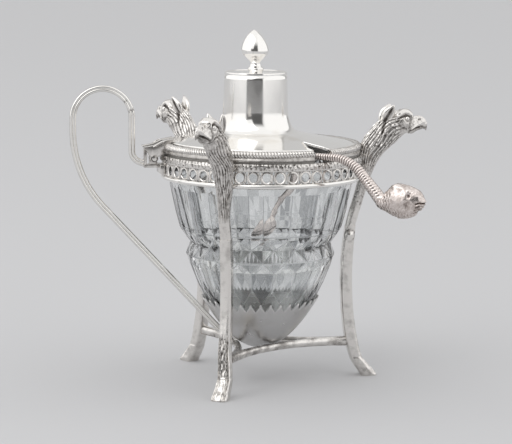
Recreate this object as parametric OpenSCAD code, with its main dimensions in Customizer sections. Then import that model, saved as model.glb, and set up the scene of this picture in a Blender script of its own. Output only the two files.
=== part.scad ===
// Mustard pot: a cut-glass liner in an open frame on three hoofed legs with beast heads,
// a hinged lid with a tower and bud finial, a reeded wire handle and a spoon with a beast head.
// Millimetres, +Z up. The handle and hinge are on the -X side and one leg is on the +X side.
// Each piece is drawn about the pot's axis, and finish() then moves it so that the origin is in
// the middle of the part's plan, at the floor.

/* [Band] */
// Outer radius of the pierced frieze
frieze_r = 41.2; // [40.8:0.1:41.6]
// Height of the band's underside above the floor
band_z = 84.8; // [84:0.2:85.6]
// Height of the plain lower moulding
lower_h = 2; // [1.8:0.1:2.2]
// Height of the pierced frieze
frieze_h = 5; // [4.8:0.1:5.2]
// Height of the leaf-edged upper moulding
upper_h = 2.6; // [2.4:0.1:2.8]
// Wall of the frieze
frieze_t = 0.9; // [0.8:0.1:1]
// Number of round piercings in the frieze
pierce_n = 48; // [44:1:50]
// Radius of a piercing
pierce_r = 1.7; // [1.5:0.1:1.8]

/* [Glass liner] */
// Number of flats cut round the glass
flute_n = 20; // [16:2:24]
// Wall of the glass at its rim
glass_t = 2.3; // [2:0.1:2.6]
// Distance of the waist between the two tiers in from the face of the frieze
waist_in = 11.9; // [11.4:0.1:12.4]
// Height of the waist
waist_z = 58.3; // [57.5:0.1:59]
// Swell of the belly below the waist, beyond the waist
belly_swell = 1.7; // [1.3:0.1:2.1]
// Height of the belly
belly_z = 53.2; // [52.6:0.1:53.8]

/* [Calyx cup and stretcher] */
// Height of the lowest point of the cup
calyx_z = 13.3; // [13:0.1:13.5]
// Height of the cup from its lowest point to the tips of its teeth
calyx_h = 21.9; // [21:0.1:22.5]
// Radius of the cup at the tips of its teeth
calyx_r = 24.5; // [24.2:0.1:24.8]
// Thickness of the cup, measured upward
calyx_t = 1.2; // [1:0.1:1.4]
// Number of teeth round the cup
tooth_n = 36; // [32:1:40]
// Depth of the notches between the teeth
tooth_h = 3.5; // [3:0.1:4]
// Width of a stretcher bar
bar_w = 2.6; // [2.4:0.1:3]
// Height of a stretcher bar
bar_h = 3; // [2.8:0.1:3.2]
// Height of the middle of the bars
bar_z = 14.8; // [14.6:0.1:15]
// Distance of a bar from the axis at its middle
bar_mid = 10; // [9.8:0.1:10.2]

/* [Legs] */
// Radius of the bow of a leg
bow_r = 143; // [135:1:150]
// Height of the leg's waist
bow_z = 44; // [42:0.5:46]
// Distance of the leg's middle line in from the face of the frieze, at the leg's waist
bow_in = 4.2; // [3.8:0.1:4.4]
// Thickness of a leg, measured outward
leg_t = 3.8; // [3.6:0.1:4]
// Width of a leg
leg_w = 4.7; // [4.4:0.1:5]
// Height of the lower shoulder of the lap joint
lap_z = 62; // [60:0.5:64]
// Height of the lap joint
lap_h = 4; // [3:0.5:5]
// Length of the sole of a hoof
sole_len = 6.7; // [6.2:0.1:7.2]
// Width of the sole of a hoof
sole_w = 6.8; // [6.4:0.1:7.2]
// Distance of the heel of a hoof outside the leg's middle line
heel_out = 1.9; // [1.4:0.1:2.4]
// Height of a hoof
hoof_h = 8; // [7.5:0.1:8.5]

/* [Handle] */
// Distance of the handle's outermost upright from the hinge axis
loop_out = 32.9; // [32.1:0.1:33.7]
// Radius of the small loop at the top
loop_r = 12.1; // [11.9:0.1:12.3]
// Height of the middle of the small loop
loop_z = 110; // [109:0.2:111]
// Radius of the wide bend below the loop
sweep_r = 46; // [44:0.5:48]
// Height at which the wide bend ends
sweep_z = 105; // [104:0.5:106]
// Radius of the hook that meets the hinge bracket
hook_r = 4.8; // [4.6:0.1:5]
// Height of the middle of the hook
hook_z = 96.4; // [96:0.1:96.8]
// Radius of one reed of the wire
reed_r = 0.75; // [0.7:0.05:0.8]
// Distance of each reed from the middle of the wire
reed_off = 0.6; // [0.55:0.05:0.65]
// Turn of the loop, up from level, at which its two wires are joined
scarf_turn = 25; // [20:1:30]

/* [Hinge] */
// Distance of the hinge axis outside the band's upper moulding
hinge_out = 2.9; // [2.7:0.1:3.2]
// Height of the hinge axis
hinge_z = 93.7; // [93.5:0.1:94]
// Radius of the knuckles
knuckle_r = 1.6; // [1.5:0.05:1.7]
// Radius of the hinge pin
pin_r = 0.7; // [0.6:0.05:0.8]
// Clearance of the pin in the knuckles that turn on it
pin_clear = 0.04; // [0.03:0.01:0.06]
// Half length of the fixed knuckle
fixed_y = 1.6; // [1.4:0.1:1.8]
// Half width of the hinge
hinge_y = 5; // [4.8:0.1:5.4]
// Gap between the fixed knuckle and the lid's knuckles
knuckle_gap = 0.25; // [0.2:0.05:0.3]

/* [Lid] */
// Setback of the lid's rim moulding from the face of the frieze
lid_set = 0.1; // [0:0.1:0.4]
// Height of the dark seat between band and lid
seat_h = 1.8; // [1.6:0.1:2]
// Height of the lid's rim moulding
lid_rim_h = 3.7; // [3.4:0.1:3.9]
// Thickness of the lid's sheet
lid_t = 0.9; // [0.8:0.1:1]
// Rise of the lid's flange from rim to flare
flange_h = 4.3; // [4:0.1:4.6]
// Radius at which the flange turns up into the flare
flare_r = 19; // [18:0.5:20]
// Radius of the tower at its foot
tower_r = 13.5; // [13:0.1:14]
// Radius of the tower at its top
tower_top_r = 12.9; // [12.6:0.1:13]
// Height of the top of the tower above the floor
tower_z = 128.8; // [128:0.2:130]
// Distance by which the tower stands nearer the hinge than the pot's axis
tower_off = 2; // [1.6:0.1:2.4]
// Direction of the spoon notch
notch_az = -63; // [-64:0.5:-62]
// Width of the spoon notch
notch_w = 8.6; // [8.2:0.1:9.2]
// Distance of the point of the notch from the axis
notch_r = 27; // [26:0.5:28]
// Height of the finial above the tower
finial_h = 17.2; // [16:0.2:18]
// Largest radius of the finial's bud
bud_r = 5.5; // [5:0.1:6]
// Radius of the stud under the finial
stud_r = 1.2; // [1.1:0.05:1.3]

/* [Spoon] */
// Direction in which the spoon's stem leads out of the pot
spoon_az = -35; // [-37:0.5:-33]
// Radius of the stem
stem_r = 1.4; // [1.3:0.05:1.5]
// How much the stem gains in radius from the rim to the beast's head
stem_swell = 1.2; // [1:0.1:1.4]
// Height of the top of the stem's middle line above the band
stem_lift = 2.6; // [2.4:0.1:3]
// Lean of the inner stem from upright
stem_lean = 35; // [33:0.5:37]
// Length of the straight inner stem
stem_len = 29; // [27:0.5:30]
// Radius of the bend above the rim, outside
outer_bend_r = 16; // [15:0.5:17]
// Slope of the outer stem below level
outer_slope = 49; // [47:0.5:51]
// Radius of the bowl's sphere
bowl_sphere_r = 7.2; // [7:0.1:7.4]
// Radius of the bowl at its rim
bowl_r = 6.4; // [6.2:0.1:6.6]
// Thickness of the bowl
bowl_t = 0.8; // [0.7:0.1:0.9]

/* [Hidden] */
$fn = 72;
bow_fn = 240;
loft_sides = 14;
LEG_RIGHT = 0;
LEG_REAR = 120;
LEG_FRONT = 240;
leg_turns = [LEG_RIGHT, LEG_REAR, LEG_FRONT];
seat_gap = 0.1;
reach = 200;

// Heights of the band and the lid
frieze_z = band_z + lower_h;
upper_z = frieze_z + frieze_h;
band_top = upper_z + upper_h;
lid_z = band_top + seat_h;
lid_top = lid_z + lid_rim_h;
band_wall = 1.7;
upper_lip = 1.2;
lower_lip = 0.5;
band_in = frieze_r - band_wall;
upper_out = frieze_r + upper_lip;
lower_out = frieze_r + lower_lip;

// The glass stands free inside the band, on the floor of the cup
glass_gap = 0.4;
glass_drop = 0.5;
glass_r = band_in - glass_gap;
glass_top = band_top - glass_drop;
glass_in = glass_r - glass_t;
waist_r = frieze_r - waist_in;
belly_r = waist_r + belly_swell;
floor_r = 5;
calyx_top = calyx_z + calyx_h;
function calyx_out(z) = calyx_r * sqrt((z - calyx_z) / calyx_h);
function calyx_height(r) = calyx_z + calyx_h * pow(r / calyx_r, 2);
floor_z = calyx_height(floor_r) + calyx_t;

// The legs
bow_mid = frieze_r - bow_in;
function leg_mid(z) = bow_mid + bow_r - sqrt(bow_r * bow_r - (z - bow_z) * (z - bow_z));
heel_r = leg_mid(hoof_h) + heel_out;

// The lid's rim and seat
lid_r = frieze_r - lid_set;
lid_rim_w = 2.5;
seat_set = 0.5;
tongue_t = 0.9;
tongue_h = 3;
rim_in = lid_r - lid_rim_w;
bezel_out = lid_r - seat_set;
tongue_out = glass_in - glass_gap;
tongue_in = tongue_out - tongue_t;
cap_h = 0.9;
cap_z = tower_z - cap_h;
flange_drop = 0.4;
flare_h = 9;
flange_z = lid_top - flange_drop;
flare_z = flange_z + flange_h;
flare_top = flare_z + flare_h;
stud_clear = 0.05;
stud_len = 4;
nut_r = 2.6;
nut_h = 2;

// The handle's middle line, as [distance out, height], and the turns of its bends
hinge_x = upper_out + hinge_out;
loop_x = hinge_x + loop_out;
wire_foot = [bar_mid + 1.6, bar_z + 0.6];
sweep_c = [loop_x - sweep_r, sweep_z];
loop_c = [loop_x - loop_r, loop_z];
hook_x = loop_x - 2 * loop_r;
hook_c = [hook_x - hook_r, hook_z];
foot_v = wire_foot - sweep_c;
sweep_turn = atan2(foot_v.y, foot_v.x) + acos(sweep_r / norm(foot_v));
hook_turn = 72;
hook_end = hook_c + hook_r * [cos(hook_turn), -sin(hook_turn)];
hook_run = 3;
hook_tip = hook_end + hook_run * [-sin(hook_turn), -cos(hook_turn)];

// The hinge
bracket_out = hinge_x + 3.9;
bracket_t = 1.2;
bracket_top = hinge_z + 3.6;
bracket_foot = hinge_z - 4.1;
bracket_base_t = 1.5;
pin_head_h = 0.4;
pin_head_r = 1.05;

// The spoon, in its own upright plane: [distance out from the rim crossing, height]
cross_az = notch_az + 2;
rim_cross = (frieze_r - 0.15) * [cos(cross_az), sin(cross_az)];
stem_top = band_top + stem_lift;
inner_bend_r = 5;
inner_bend_s = -4.2;
outer_bend_s = 2.5;
inner_c = [inner_bend_s, stem_top - inner_bend_r];
outer_c = [outer_bend_s, stem_top - outer_bend_r];
inner_turn = 90 - stem_lean;
inner_start = inner_c + inner_bend_r * [-sin(inner_turn), cos(inner_turn)];
inner_dir = [-sin(stem_lean), -cos(stem_lean)];
stem_end = inner_start + stem_len * inner_dir;
outer_start = outer_c + outer_bend_r * [sin(outer_slope), cos(outer_slope)];
outer_dir = [cos(outer_slope), -sin(outer_slope)];
outer_run = 12.75;
neck_r = stem_r + stem_swell;
head_start = outer_start + outer_run * outer_dir;
inner_az = atan2(inner_dir.y, inner_dir.x);
bowl_lap = 1.6;
bowl_c = stem_end + (bowl_r - bowl_lap) * inner_dir;
bowl_rise = sqrt(bowl_sphere_r * bowl_sphere_r - bowl_r * bowl_r);

// Neck and head of a leg: [out from the frieze, above the band's underside, half depth, half width]
neck_stations = [
    [-0.6, -9.8, 2.0, 2.4],
    [0.4, -4.8, 2.5, 3.0],
    [2.3, -0.3, 3.0, 3.5],
    [3.4, 3.7, 3.4, 4.0],
    [4.4, 7.2, 3.6, 4.2],
    [5.8, 11.2, 4.6, 4.2],
    [8.5, 15.0, 5.3, 3.9],
    [11.8, 18.5, 5.5, 3.6],
    [15.2, 21.4, 5.5, 3.5],
    [18.6, 22.8, 4.9, 3.5],
    [21.4, 23.0, 4.7, 3.2],
    [23.8, 22.3, 3.1, 2.2],
    [26.4, 22.3, 2.3, 1.5],
    [28.4, 21.5, 1.5, 0.9],
    [29.2, 20.3, 0.5, 0.4]
];
ear_stations = [
    [11.6, 24.0, 1.8, 0.9],
    [12.2, 26.5, 2.2, 1.1],
    [12.8, 28.6, 1.5, 0.8],
    [13.3, 29.8, 0.4, 0.3]
];
ear_y = 2.3;
eye_at = [20.9, 24.3];
eye_y = 2.5;
eye_r = 1.1;

// Head of the spoon: [out from the end of the stem, above it, half depth, half width]
beast_stations = [
    [0, 0, neck_r, neck_r],
    [0.9 * outer_dir.x, 0.9 * outer_dir.y, neck_r + 0.1, neck_r + 0.1],
    [1.4, -1.0, 3.4, 2.9],
    [3.4, -1.1, 4.4, 3.4],
    [5.4, -0.95, 5.9, 4.0],
    [7.8, -0.6, 7.1, 4.4],
    [10.5, -0.7, 7.1, 4.6],
    [13.3, -0.65, 6.5, 4.3],
    [15.8, -0.6, 5.3, 3.6],
    [17.7, -0.8, 3.4, 2.7],
    [18.9, -0.9, 1.7, 1.7],
    [19.5, -1.0, 0.6, 0.6]
];
beast_ear_stations = [
    [8.4, 1.0, 1.5, 0.8],
    [7.2, 4.2, 1.7, 1.0],
    [7.0, 6.6, 0.6, 0.4]
];
beast_ear_y = 1.9;
beast_eye_at = [10.8, 2.6];
beast_eye_y = 3.6;
beast_eye_r = 1.2;

// Middle of the part's plan, seen from the pot's axis: between beak and handle, and between
// the rear beak and the spoon's head
head_reach = 29.6;
spoon_reach = 21.4;
beak_r = frieze_r + head_reach;
handle_x = loop_x + reed_off + reed_r;
spoon_y = rim_cross.y + (head_start.x + spoon_reach) * sin(spoon_az);
plan_mid = [(beak_r - handle_x) / 2, (beak_r * sin(LEG_REAR) + spoon_y) / 2];

// Shared shapes

// Colours a piece and moves it from the pot's axis to the part's origin
module finish(tint, alpha = 1) {
    color(tint, alpha)
        translate([-plan_mid.x, -plan_mid.y, 0])
            children();
}

// Stands a flat outline up in the plane of the axis, w thick
module upright(w) {
    rotate([90, 0, 0])
        linear_extrude(height = w, center = true)
            children();
}

// Puts work drawn in the flat plane into the upright plane of the handle, with x pointing to -X
module in_handle_plane() {
    rotate([90, 0, 180])
        children();
}

// Points round c from turn a0 to turn a1, in steps of about step degrees
function arc_points(c, r, a0, a1, step) =
    let (n = ceil(abs(a1 - a0) / step))
    [for (k = [0 : n]) let (a = a0 + (a1 - a0) * k / n) c + r * [cos(a), sin(a)]];

// Stations of full size along a line of points
function wire_stations(points) = [for (p = points) [p.x, p.y, 1, 1]];

// Direction of a row of stations at station i, from its neighbours
function lead(st, i) =
    let (a = st[max(i - 1, 0)], b = st[min(i + 1, len(st) - 1)], v = [b[0] - a[0], b[1] - a[1]])
    v / norm(v);

// Round section of a loft, of unit radius
round_section = [for (k = [0 : loft_sides - 1]) [cos(360 * k / loft_sides), -sin(360 * k / loft_sides)]];

// One ring of a loft, square to the row of stations
function loft_ring(st, i, y, section) =
    let (d = lead(st, i), s = st[i])
    [for (p = section) [s[0] - d.y * s[2] * p.x, y + s[3] * p.y, s[1] + d.x * s[2] * p.x]];

// Faces that close n rings of m points into a solid
function ring_faces(n, m) = concat(
    [for (i = [0 : n - 2], k = [0 : m - 1]) [i * m + k, (i + 1) * m + k, i * m + (k + 1) % m]],
    [for (i = [0 : n - 2], k = [0 : m - 1])
        [i * m + (k + 1) % m, (i + 1) * m + k, (i + 1) * m + (k + 1) % m]],
    [[for (k = [0 : m - 1]) k], [for (k = [m - 1 : -1 : 0]) (n - 1) * m + k]]);

// Solid skin over a row of stations, in the upright plane at y
module loft(st, y = 0, section = round_section) {
    n = len(st);
    points = [for (i = [0 : n - 1]) each loft_ring(st, i, y, section)];
    polyhedron(points, ring_faces(n, len(section)));
}

// Wedge that opens the lid's rim for the spoon
module notch() {
    shoulder = notch_r + 9;
    rotate([0, 0, notch_az])
        translate([0, 0, band_z])
            linear_extrude(height = tower_z - band_z)
                polygon([[notch_r, 0], [shoulder, -notch_w / 2], [reach, -notch_w / 2],
                    [reach, notch_w / 2], [shoulder, notch_w / 2]]);
}

// Legs

// Outline of the bowed leg between two heights and two depths from its middle line
module leg_strip(z0, z1, t0, t1) {
    intersection() {
        translate([bow_mid + bow_r, bow_z])
            difference() {
                circle(r = bow_r - t0, $fn = bow_fn);
                circle(r = bow_r - t1, $fn = bow_fn);
            }
        translate([0, z0])
            square([bow_mid + bow_r, z1 - z0]);
    }
}

// Outline of a hoof from the side
module hoof_side() {
    toe = heel_r + sole_len;
    polygon([[heel_r, 0], [toe, 0], [toe - 0.3, 0.15 * hoof_h], [toe - 2.8, 0.5 * hoof_h],
        [toe - 5.4, hoof_h], [heel_r - 4.3, hoof_h * 1.1], [heel_r - 2.6, 0.45 * hoof_h]]);
}

// Outline of a hoof from the front
module hoof_front() {
    polygon([[-sole_w / 2, 0], [sole_w / 2, 0], [leg_w / 2 + 0.2, hoof_h * 1.1],
        [-leg_w / 2 - 0.2, hoof_h * 1.1]]);
}

module leg_lower() {
    upright(leg_w) {
        leg_strip(hoof_h * 0.8, lap_z, -leg_t / 2, leg_t / 2);
        leg_strip(lap_z - 1, lap_z + lap_h, -leg_t / 2, 0);
    }
    intersection() {
        upright(sole_w * 2)
            hoof_side();
        rotate([90, 0, 90])
            linear_extrude(height = reach)
                hoof_front();
    }
}

// The band's outside, filled to the axis, to which the heads are fitted
module band_block() {
    rotate_extrude($fn = 144)
        polygon(concat([[0, band_z]], lower_edge(), upper_edge(), [[0, band_top]]));
}

module leg_upper() {
    shelf_in = band_in + 0.2;
    difference() {
        union() {
            upright(leg_w) {
                leg_strip(lap_z, lap_z + lap_h, 0, leg_t / 2);
                leg_strip(lap_z + lap_h, band_z, -leg_t / 2, leg_t / 2);
                polygon([[shelf_in, band_z], [frieze_r + 2, band_z], [frieze_r + 0.6, band_z - 7],
                    [frieze_r - 1.8, band_z - 10]]);
            }
            translate([frieze_r, 0, band_z]) {
                loft(neck_stations);
                loft(ear_stations, ear_y);
                loft(ear_stations, -ear_y);
                for (side = [-1, 1])
                    translate([eye_at.x, side * eye_y, eye_at.y])
                        sphere(r = eye_r, $fn = 24);
            }
        }
        band_block();
    }
}

module leg_right_lower() {
    finish("silver") rotate([0, 0, LEG_RIGHT]) leg_lower();
}

module leg_rear_lower() {
    finish("silver") rotate([0, 0, LEG_REAR]) leg_lower();
}

module leg_front_lower() {
    finish("silver") rotate([0, 0, LEG_FRONT]) leg_lower();
}

module leg_right_upper() {
    finish("silver") rotate([0, 0, LEG_RIGHT]) leg_upper();
}

module leg_rear_upper() {
    finish("silver") rotate([0, 0, LEG_REAR]) leg_upper();
}

module leg_front_upper() {
    finish("silver") rotate([0, 0, LEG_FRONT]) leg_upper();
}

// Cup and stretcher

// The cup's outside, filled
module calyx_block() {
    rotate_extrude()
        polygon(concat([[0, calyx_top]], [[0, calyx_z]], calyx_curve(0)));
}

// Points up the cup's curve, lifted by a height
function calyx_curve(lift) =
    [for (k = [2 : 14]) let (r = calyx_r * k / 14) [r, calyx_height(r) + lift]];

module calyx_cup() {
    pitch = 360 / tooth_n;
    half = PI * calyx_r / tooth_n - 0.35;
    notch_z = calyx_top - tooth_h;
    inside = [for (p = calyx_curve(calyx_t)) if (p.x > floor_r && p.y < calyx_top) p];
    n = len(inside);
    finish("silver")
        difference() {
            rotate_extrude()
                polygon(concat([[0, calyx_z]], calyx_curve(0), [[calyx_out(calyx_top - calyx_t), calyx_top]],
                    [for (i = [n - 1 : -1 : 0]) inside[i]], [[floor_r, floor_z], [0, floor_z]]));
            for (i = [0 : tooth_n - 1])
                rotate([90, 0, 90 + pitch * (i + 0.5)])
                    translate([0, 0, calyx_r - 3.5])
                        linear_extrude(height = 7)
                            polygon([[0, notch_z], [half, calyx_top], [half, calyx_top + 2],
                                [-half, calyx_top + 2], [-half, calyx_top]]);
        }
}

// The three bars from above, before they are fitted to the legs
module bar_plan() {
    end_x = bow_mid * cos(60);
    end_y = bow_mid * sin(60);
    dip = end_x - bar_mid;
    bar_r = (end_y * end_y + dip * dip) / (2 * dip);
    intersection() {
        circle(r = bow_mid);
        for (a = leg_turns)
            rotate(a + 60)
                translate([bar_mid + bar_r, 0])
                    difference() {
                        circle(r = bar_r + bar_w / 2, $fn = bow_fn);
                        circle(r = bar_r - bar_w / 2, $fn = bow_fn);
                    }
    }
}

module stretcher() {
    finish("silver")
        difference() {
            translate([0, 0, bar_z - bar_h / 2])
                linear_extrude(height = bar_h)
                    bar_plan();
            for (a = leg_turns)
                rotate([0, 0, a])
                    upright(leg_w * 2)
                        leg_strip(0, lap_z, -leg_t / 2, leg_t * 2);
            calyx_block();
        }
}

// Glass

// Outside of the glass: [height, corner radius]
function glass_stations() =
    let (inside = function (z) calyx_out(z - calyx_t) - seat_gap)
    [[floor_z, floor_r - 0.3], [floor_z + 2, inside(floor_z + 2)],
        for (f = [0.4, 0.6, 0.8, 1]) let (z = calyx_z + f * calyx_h) [z, inside(z)],
        [calyx_top + 6.5, calyx_r + 2.7],
        [belly_z - 4, belly_r - 1.4], [belly_z, belly_r], [waist_z, waist_r],
        [waist_z + 4.2, waist_r + 3.3], [waist_z + 5.8, waist_r + 4.3], [waist_z + 12.2, waist_r + 6.1],
        [band_z - 3.2, glass_r - 1.3], [band_z + 1, glass_r - 0.5]];

module glass_facets() {
    st = glass_stations();
    points = [for (s = st) each [for (k = [0 : flute_n - 1])
        let (a = 360 * (k + 0.5) / flute_n)
        [s[1] * cos(a), s[1] * sin(a), s[0]]]];
    polyhedron(points, ring_faces(len(st), flute_n));
}

module glass_liner() {
    finish("lightcyan", 0.5)
        difference() {
            union() {
                glass_facets();
                translate([0, 0, band_z - 0.5])
                    cylinder(r = glass_r, h = glass_top - band_z + 0.5, $fn = 144);
            }
            rotate_extrude($fn = 144)
                polygon([[0, floor_z + 4], [0.47 * calyx_r, floor_z + 8],
                    [0.735 * calyx_r, calyx_top - 4.2], [calyx_r - 1.2, calyx_top + 5.8],
                    [belly_r - 3.4, belly_z - 2], [waist_r - 2.9, waist_z], [waist_r + 1.6, waist_z + 6],
                    [glass_in - 1.6, band_z - 3], [glass_in, band_z + 2], [glass_in, band_top + 1],
                    [0, band_top + 1]]);
        }
}

// Band

// Outer edge of the plain lower moulding, from the bottom up
function lower_edge() = [[frieze_r - 0.5, band_z], [lower_out - 0.2, band_z + 0.3],
    [lower_out, band_z + 0.5 * lower_h], [lower_out - 0.2, frieze_z - 0.3], [frieze_r, frieze_z]];

// Outer edge of the leaf-edged upper moulding, from the bottom up
function upper_edge() = [[frieze_r, upper_z], [upper_out - 0.3, upper_z + 0.4],
    [upper_out, upper_z + 1], [upper_out, band_top - 0.8], [upper_out - 0.6, band_top]];

module band_lower_moulding() {
    finish("gainsboro")
        rotate_extrude($fn = 144)
            polygon(concat([[band_in, band_z]], lower_edge(), [[band_in, frieze_z]]));
}

module band_frieze() {
    finish("silver")
        translate([0, 0, frieze_z])
            difference() {
                cylinder(r = frieze_r, h = frieze_h, $fn = 144);
                translate([0, 0, -1])
                    cylinder(r = frieze_r - frieze_t, h = frieze_h + 2, $fn = 144);
                for (i = [0 : pierce_n - 1])
                    rotate([0, 90, 360 * i / pierce_n])
                        translate([-frieze_h / 2, 0, frieze_r / 2])
                            cylinder(r = pierce_r, h = frieze_r, $fn = 24);
            }
}

module band_upper_moulding() {
    finish("gainsboro")
        rotate_extrude($fn = 144)
            polygon(concat([[band_in, upper_z]], upper_edge(), [[band_in, band_top]]));
}

// Handle

// The two reeds of the wire, side by side
reed_crease = acos(reed_off / reed_r);
reed_section = [for (side = [180, 0], k = [3 : -1 : -4])
    let (a = side + (180 - reed_crease) * k / 4)
    [reed_off * cos(side) + reed_r * cos(a), reed_r * sin(a)]];

module handle_loop() {
    line = concat([wire_foot], arc_points(sweep_c, sweep_r, sweep_turn, 0, 5),
        arc_points(loop_c, loop_r, 0, 180 - scarf_turn, 7));
    finish("silver")
        difference() {
            rotate([0, 0, 180])
                loft(wire_stations(line), 0, reed_section);
            translate([-bar_mid - bar_w / 2, -reach / 2, 0])
                cube([reach, reach, band_z]);
        }
}

module handle_hook() {
    line = concat(arc_points(loop_c, loop_r, 180 - scarf_turn, 180, 7),
        arc_points(hook_c, hook_r, 0, -hook_turn, 9), [hook_tip]);
    finish("silver")
        difference() {
            rotate([0, 0, 180])
                loft(wire_stations(line), 0, reed_section);
            translate([-bracket_out, -reach / 2, 0])
                cube([reach, reach, loop_z - loop_r]);
        }
}

// Hinge

// The bracket without its bore
module bracket_block() {
    in_handle_plane() {
        linear_extrude(height = 2 * fixed_y, center = true) {
            translate([upper_out - 2, bracket_foot])
                square([bracket_out - upper_out + 2, bracket_base_t]);
            translate([bracket_out - bracket_t, bracket_foot])
                square([bracket_t, bracket_top - bracket_foot]);
            translate([hinge_x - knuckle_r, bracket_foot])
                square([2 * knuckle_r, hinge_z - bracket_foot]);
            translate([hinge_x, hinge_z])
                circle(r = knuckle_r);
        }
        linear_extrude(height = 2 * hinge_y, center = true)
            translate([frieze_r - 2, frieze_z + 0.5])
                square([upper_out - frieze_r + 2.6, bracket_foot + bracket_base_t - frieze_z - 0.5]);
    }
}

module hinge_bracket() {
    finish("silver")
        difference() {
            bracket_block();
            band_block();
            translate([-hinge_x, 0, hinge_z])
                rotate([90, 0, 0])
                    cylinder(r = pin_r, h = 4 * fixed_y, center = true, $fn = 36);
        }
}

module hinge_pin() {
    half = hinge_y + pin_head_h / 2;
    finish("gray")
        translate([-hinge_x, 0, hinge_z])
            rotate([90, 0, 0]) {
                cylinder(r = pin_r, h = 2 * half + pin_head_h, center = true, $fn = 36);
                for (side = [0, 180])
                    rotate([side, 0, 0])
                        translate([0, 0, half])
                            cylinder(r = pin_head_r, h = pin_head_h, $fn = 36);
            }
}

// Side view of one arm of the lid's leaf
module leaf_arm() {
    translate([hinge_x, hinge_z])
        circle(r = knuckle_r);
    polygon([[lid_r - 4.4, lid_top + 2.1], [lid_r + 0.2, lid_top + 1.1], [hinge_x, lid_top - 0.8],
        [hinge_x + 4.6, hinge_z + 4.9], [hinge_x + 1.4, hinge_z + 0.8], [hinge_x, hinge_z],
        [hinge_x - 1.5, hinge_z + 0.6], [lid_r - 1, lid_z + 0.3]]);
}

// Side view of the strap that joins the arms on top of the lid
module leaf_strap() {
    polygon([[lid_r - 4.4, lid_top - 1], [lid_r - 4.4, lid_top + 2.1], [lid_r + 0.2, lid_top + 1.1],
        [lid_r + 0.2, lid_top - 1]]);
}

module lid_hinge_leaf() {
    arm_w = hinge_y - fixed_y - knuckle_gap;
    arm_y = fixed_y + knuckle_gap + arm_w / 2;
    finish("silver")
        difference() {
            in_handle_plane() {
                for (side = [-1, 1])
                    translate([0, 0, side * arm_y])
                        linear_extrude(height = arm_w, center = true)
                            leaf_arm();
                linear_extrude(height = 2 * hinge_y, center = true)
                    leaf_strap();
            }
            rim_block();
            dome_block();
            translate([-hinge_x, 0, hinge_z])
                rotate([90, 0, 0])
                    cylinder(r = pin_r + pin_clear, h = 4 * hinge_y, center = true, $fn = 36);
        }
}

// Lid

// Outer edge of the lid's rim moulding, from the bottom up
function rim_edge() = [[lid_r - 0.6, lid_z], [lid_r, lid_z + 0.6], [lid_r, lid_top - 1.4],
    [lid_r - 0.6, lid_top - 0.4], [lid_r - 1.6, lid_top]];

// The lid's rim, filled to the axis
module rim_block() {
    rotate_extrude($fn = 144)
        polygon(concat([[0, lid_z]], rim_edge(), [[0, lid_top]]));
}

// Points of the lid's skin from rim to tower, measured from the tower's axis and set in by t
function dome_skin(t) = concat(
    [[lid_r + tower_off + 2, flange_z - t]],
    [for (k = [1 : 4]) let (f = k / 5, r = lid_r + (flare_r - lid_r) * f)
        [r, flange_z + flange_h * pow(f, 1.15) - t]],
    [for (u = [90 : -15 : 0])
        [flare_r - (flare_r - tower_r + t) * cos(u), flare_top - (flare_top - flare_z + t) * sin(u)]],
    [[tower_top_r - t, cap_z]]);

// The lid's skin, filled
module dome_block() {
    intersection() {
        translate([-tower_off, 0, 0])
            rotate_extrude($fn = 144)
                polygon(concat([[0, lid_z]], [[lid_r + tower_off + 2, lid_z]], dome_skin(0), [[0, cap_z]]));
        cylinder(r = rim_in, h = tower_z, $fn = 144);
    }
}

module lid_bezel() {
    finish("silver")
        difference() {
            rotate_extrude($fn = 144)
                polygon([[tongue_in, band_top - tongue_h], [tongue_out, band_top - tongue_h],
                    [tongue_out, band_top], [bezel_out, band_top], [bezel_out, lid_z],
                    [tongue_in, lid_z]]);
            notch();
        }
}

module lid_rim_moulding() {
    finish("gainsboro")
        difference() {
            rotate_extrude($fn = 144)
                polygon(concat([[rim_in, lid_z]], rim_edge(), [[rim_in, lid_top]]));
            notch();
        }
}

module lid_dome() {
    inner = dome_skin(lid_t);
    n = len(inner);
    finish("gainsboro")
        difference() {
            intersection() {
                translate([-tower_off, 0, 0])
                    rotate_extrude($fn = 144)
                        polygon(concat(dome_skin(0), [for (i = [n - 1 : -1 : 0]) inner[i]]));
                translate([0, 0, lid_z])
                    cylinder(r = rim_in, h = tower_z, $fn = 144);
            }
            notch();
        }
}

module tower_cap() {
    finish("gainsboro")
        translate([-tower_off, 0, cap_z])
            difference() {
                cylinder(r = tower_top_r + 0.2, h = cap_h, $fn = 144);
                translate([0, 0, -1])
                    cylinder(r = stud_r + stud_clear, h = cap_h + 2);
            }
}

module finial() {
    h = finial_h;
    finish("gainsboro")
        translate([-tower_off, 0, tower_z]) {
            rotate_extrude()
                polygon([[0, 0], [2.6, 0], [2.6, 0.04 * h], [2.1, 0.07 * h], [3.1, 0.11 * h],
                    [3.1, 0.15 * h], [2.3, 0.21 * h], [2.3, 0.28 * h], [0.6 * bud_r, 0.33 * h],
                    [0.89 * bud_r, 0.41 * h], [bud_r, 0.5 * h], [0.95 * bud_r, 0.6 * h],
                    [0.76 * bud_r, 0.74 * h], [0.53 * bud_r, 0.86 * h], [0.27 * bud_r, 0.95 * h], [0, h]]);
            translate([0, 0, -stud_len])
                cylinder(r = stud_r, h = stud_len + 0.5);
        }
}

module finial_nut() {
    finish("silver")
        translate([-tower_off, 0, cap_z - nut_h])
            difference() {
                cylinder(r = nut_r, h = nut_h, $fn = 6);
                translate([0, 0, -1])
                    cylinder(r = stud_r + stud_clear, h = nut_h + 2);
            }
}

// Spoon

// Sphere of the bowl, set in by t
module bowl_ball(t) {
    c = bowl_c + bowl_rise * [inner_dir.y, -inner_dir.x];
    translate([c.x, 0, c.y])
        sphere(r = bowl_sphere_r - t);
}

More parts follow.
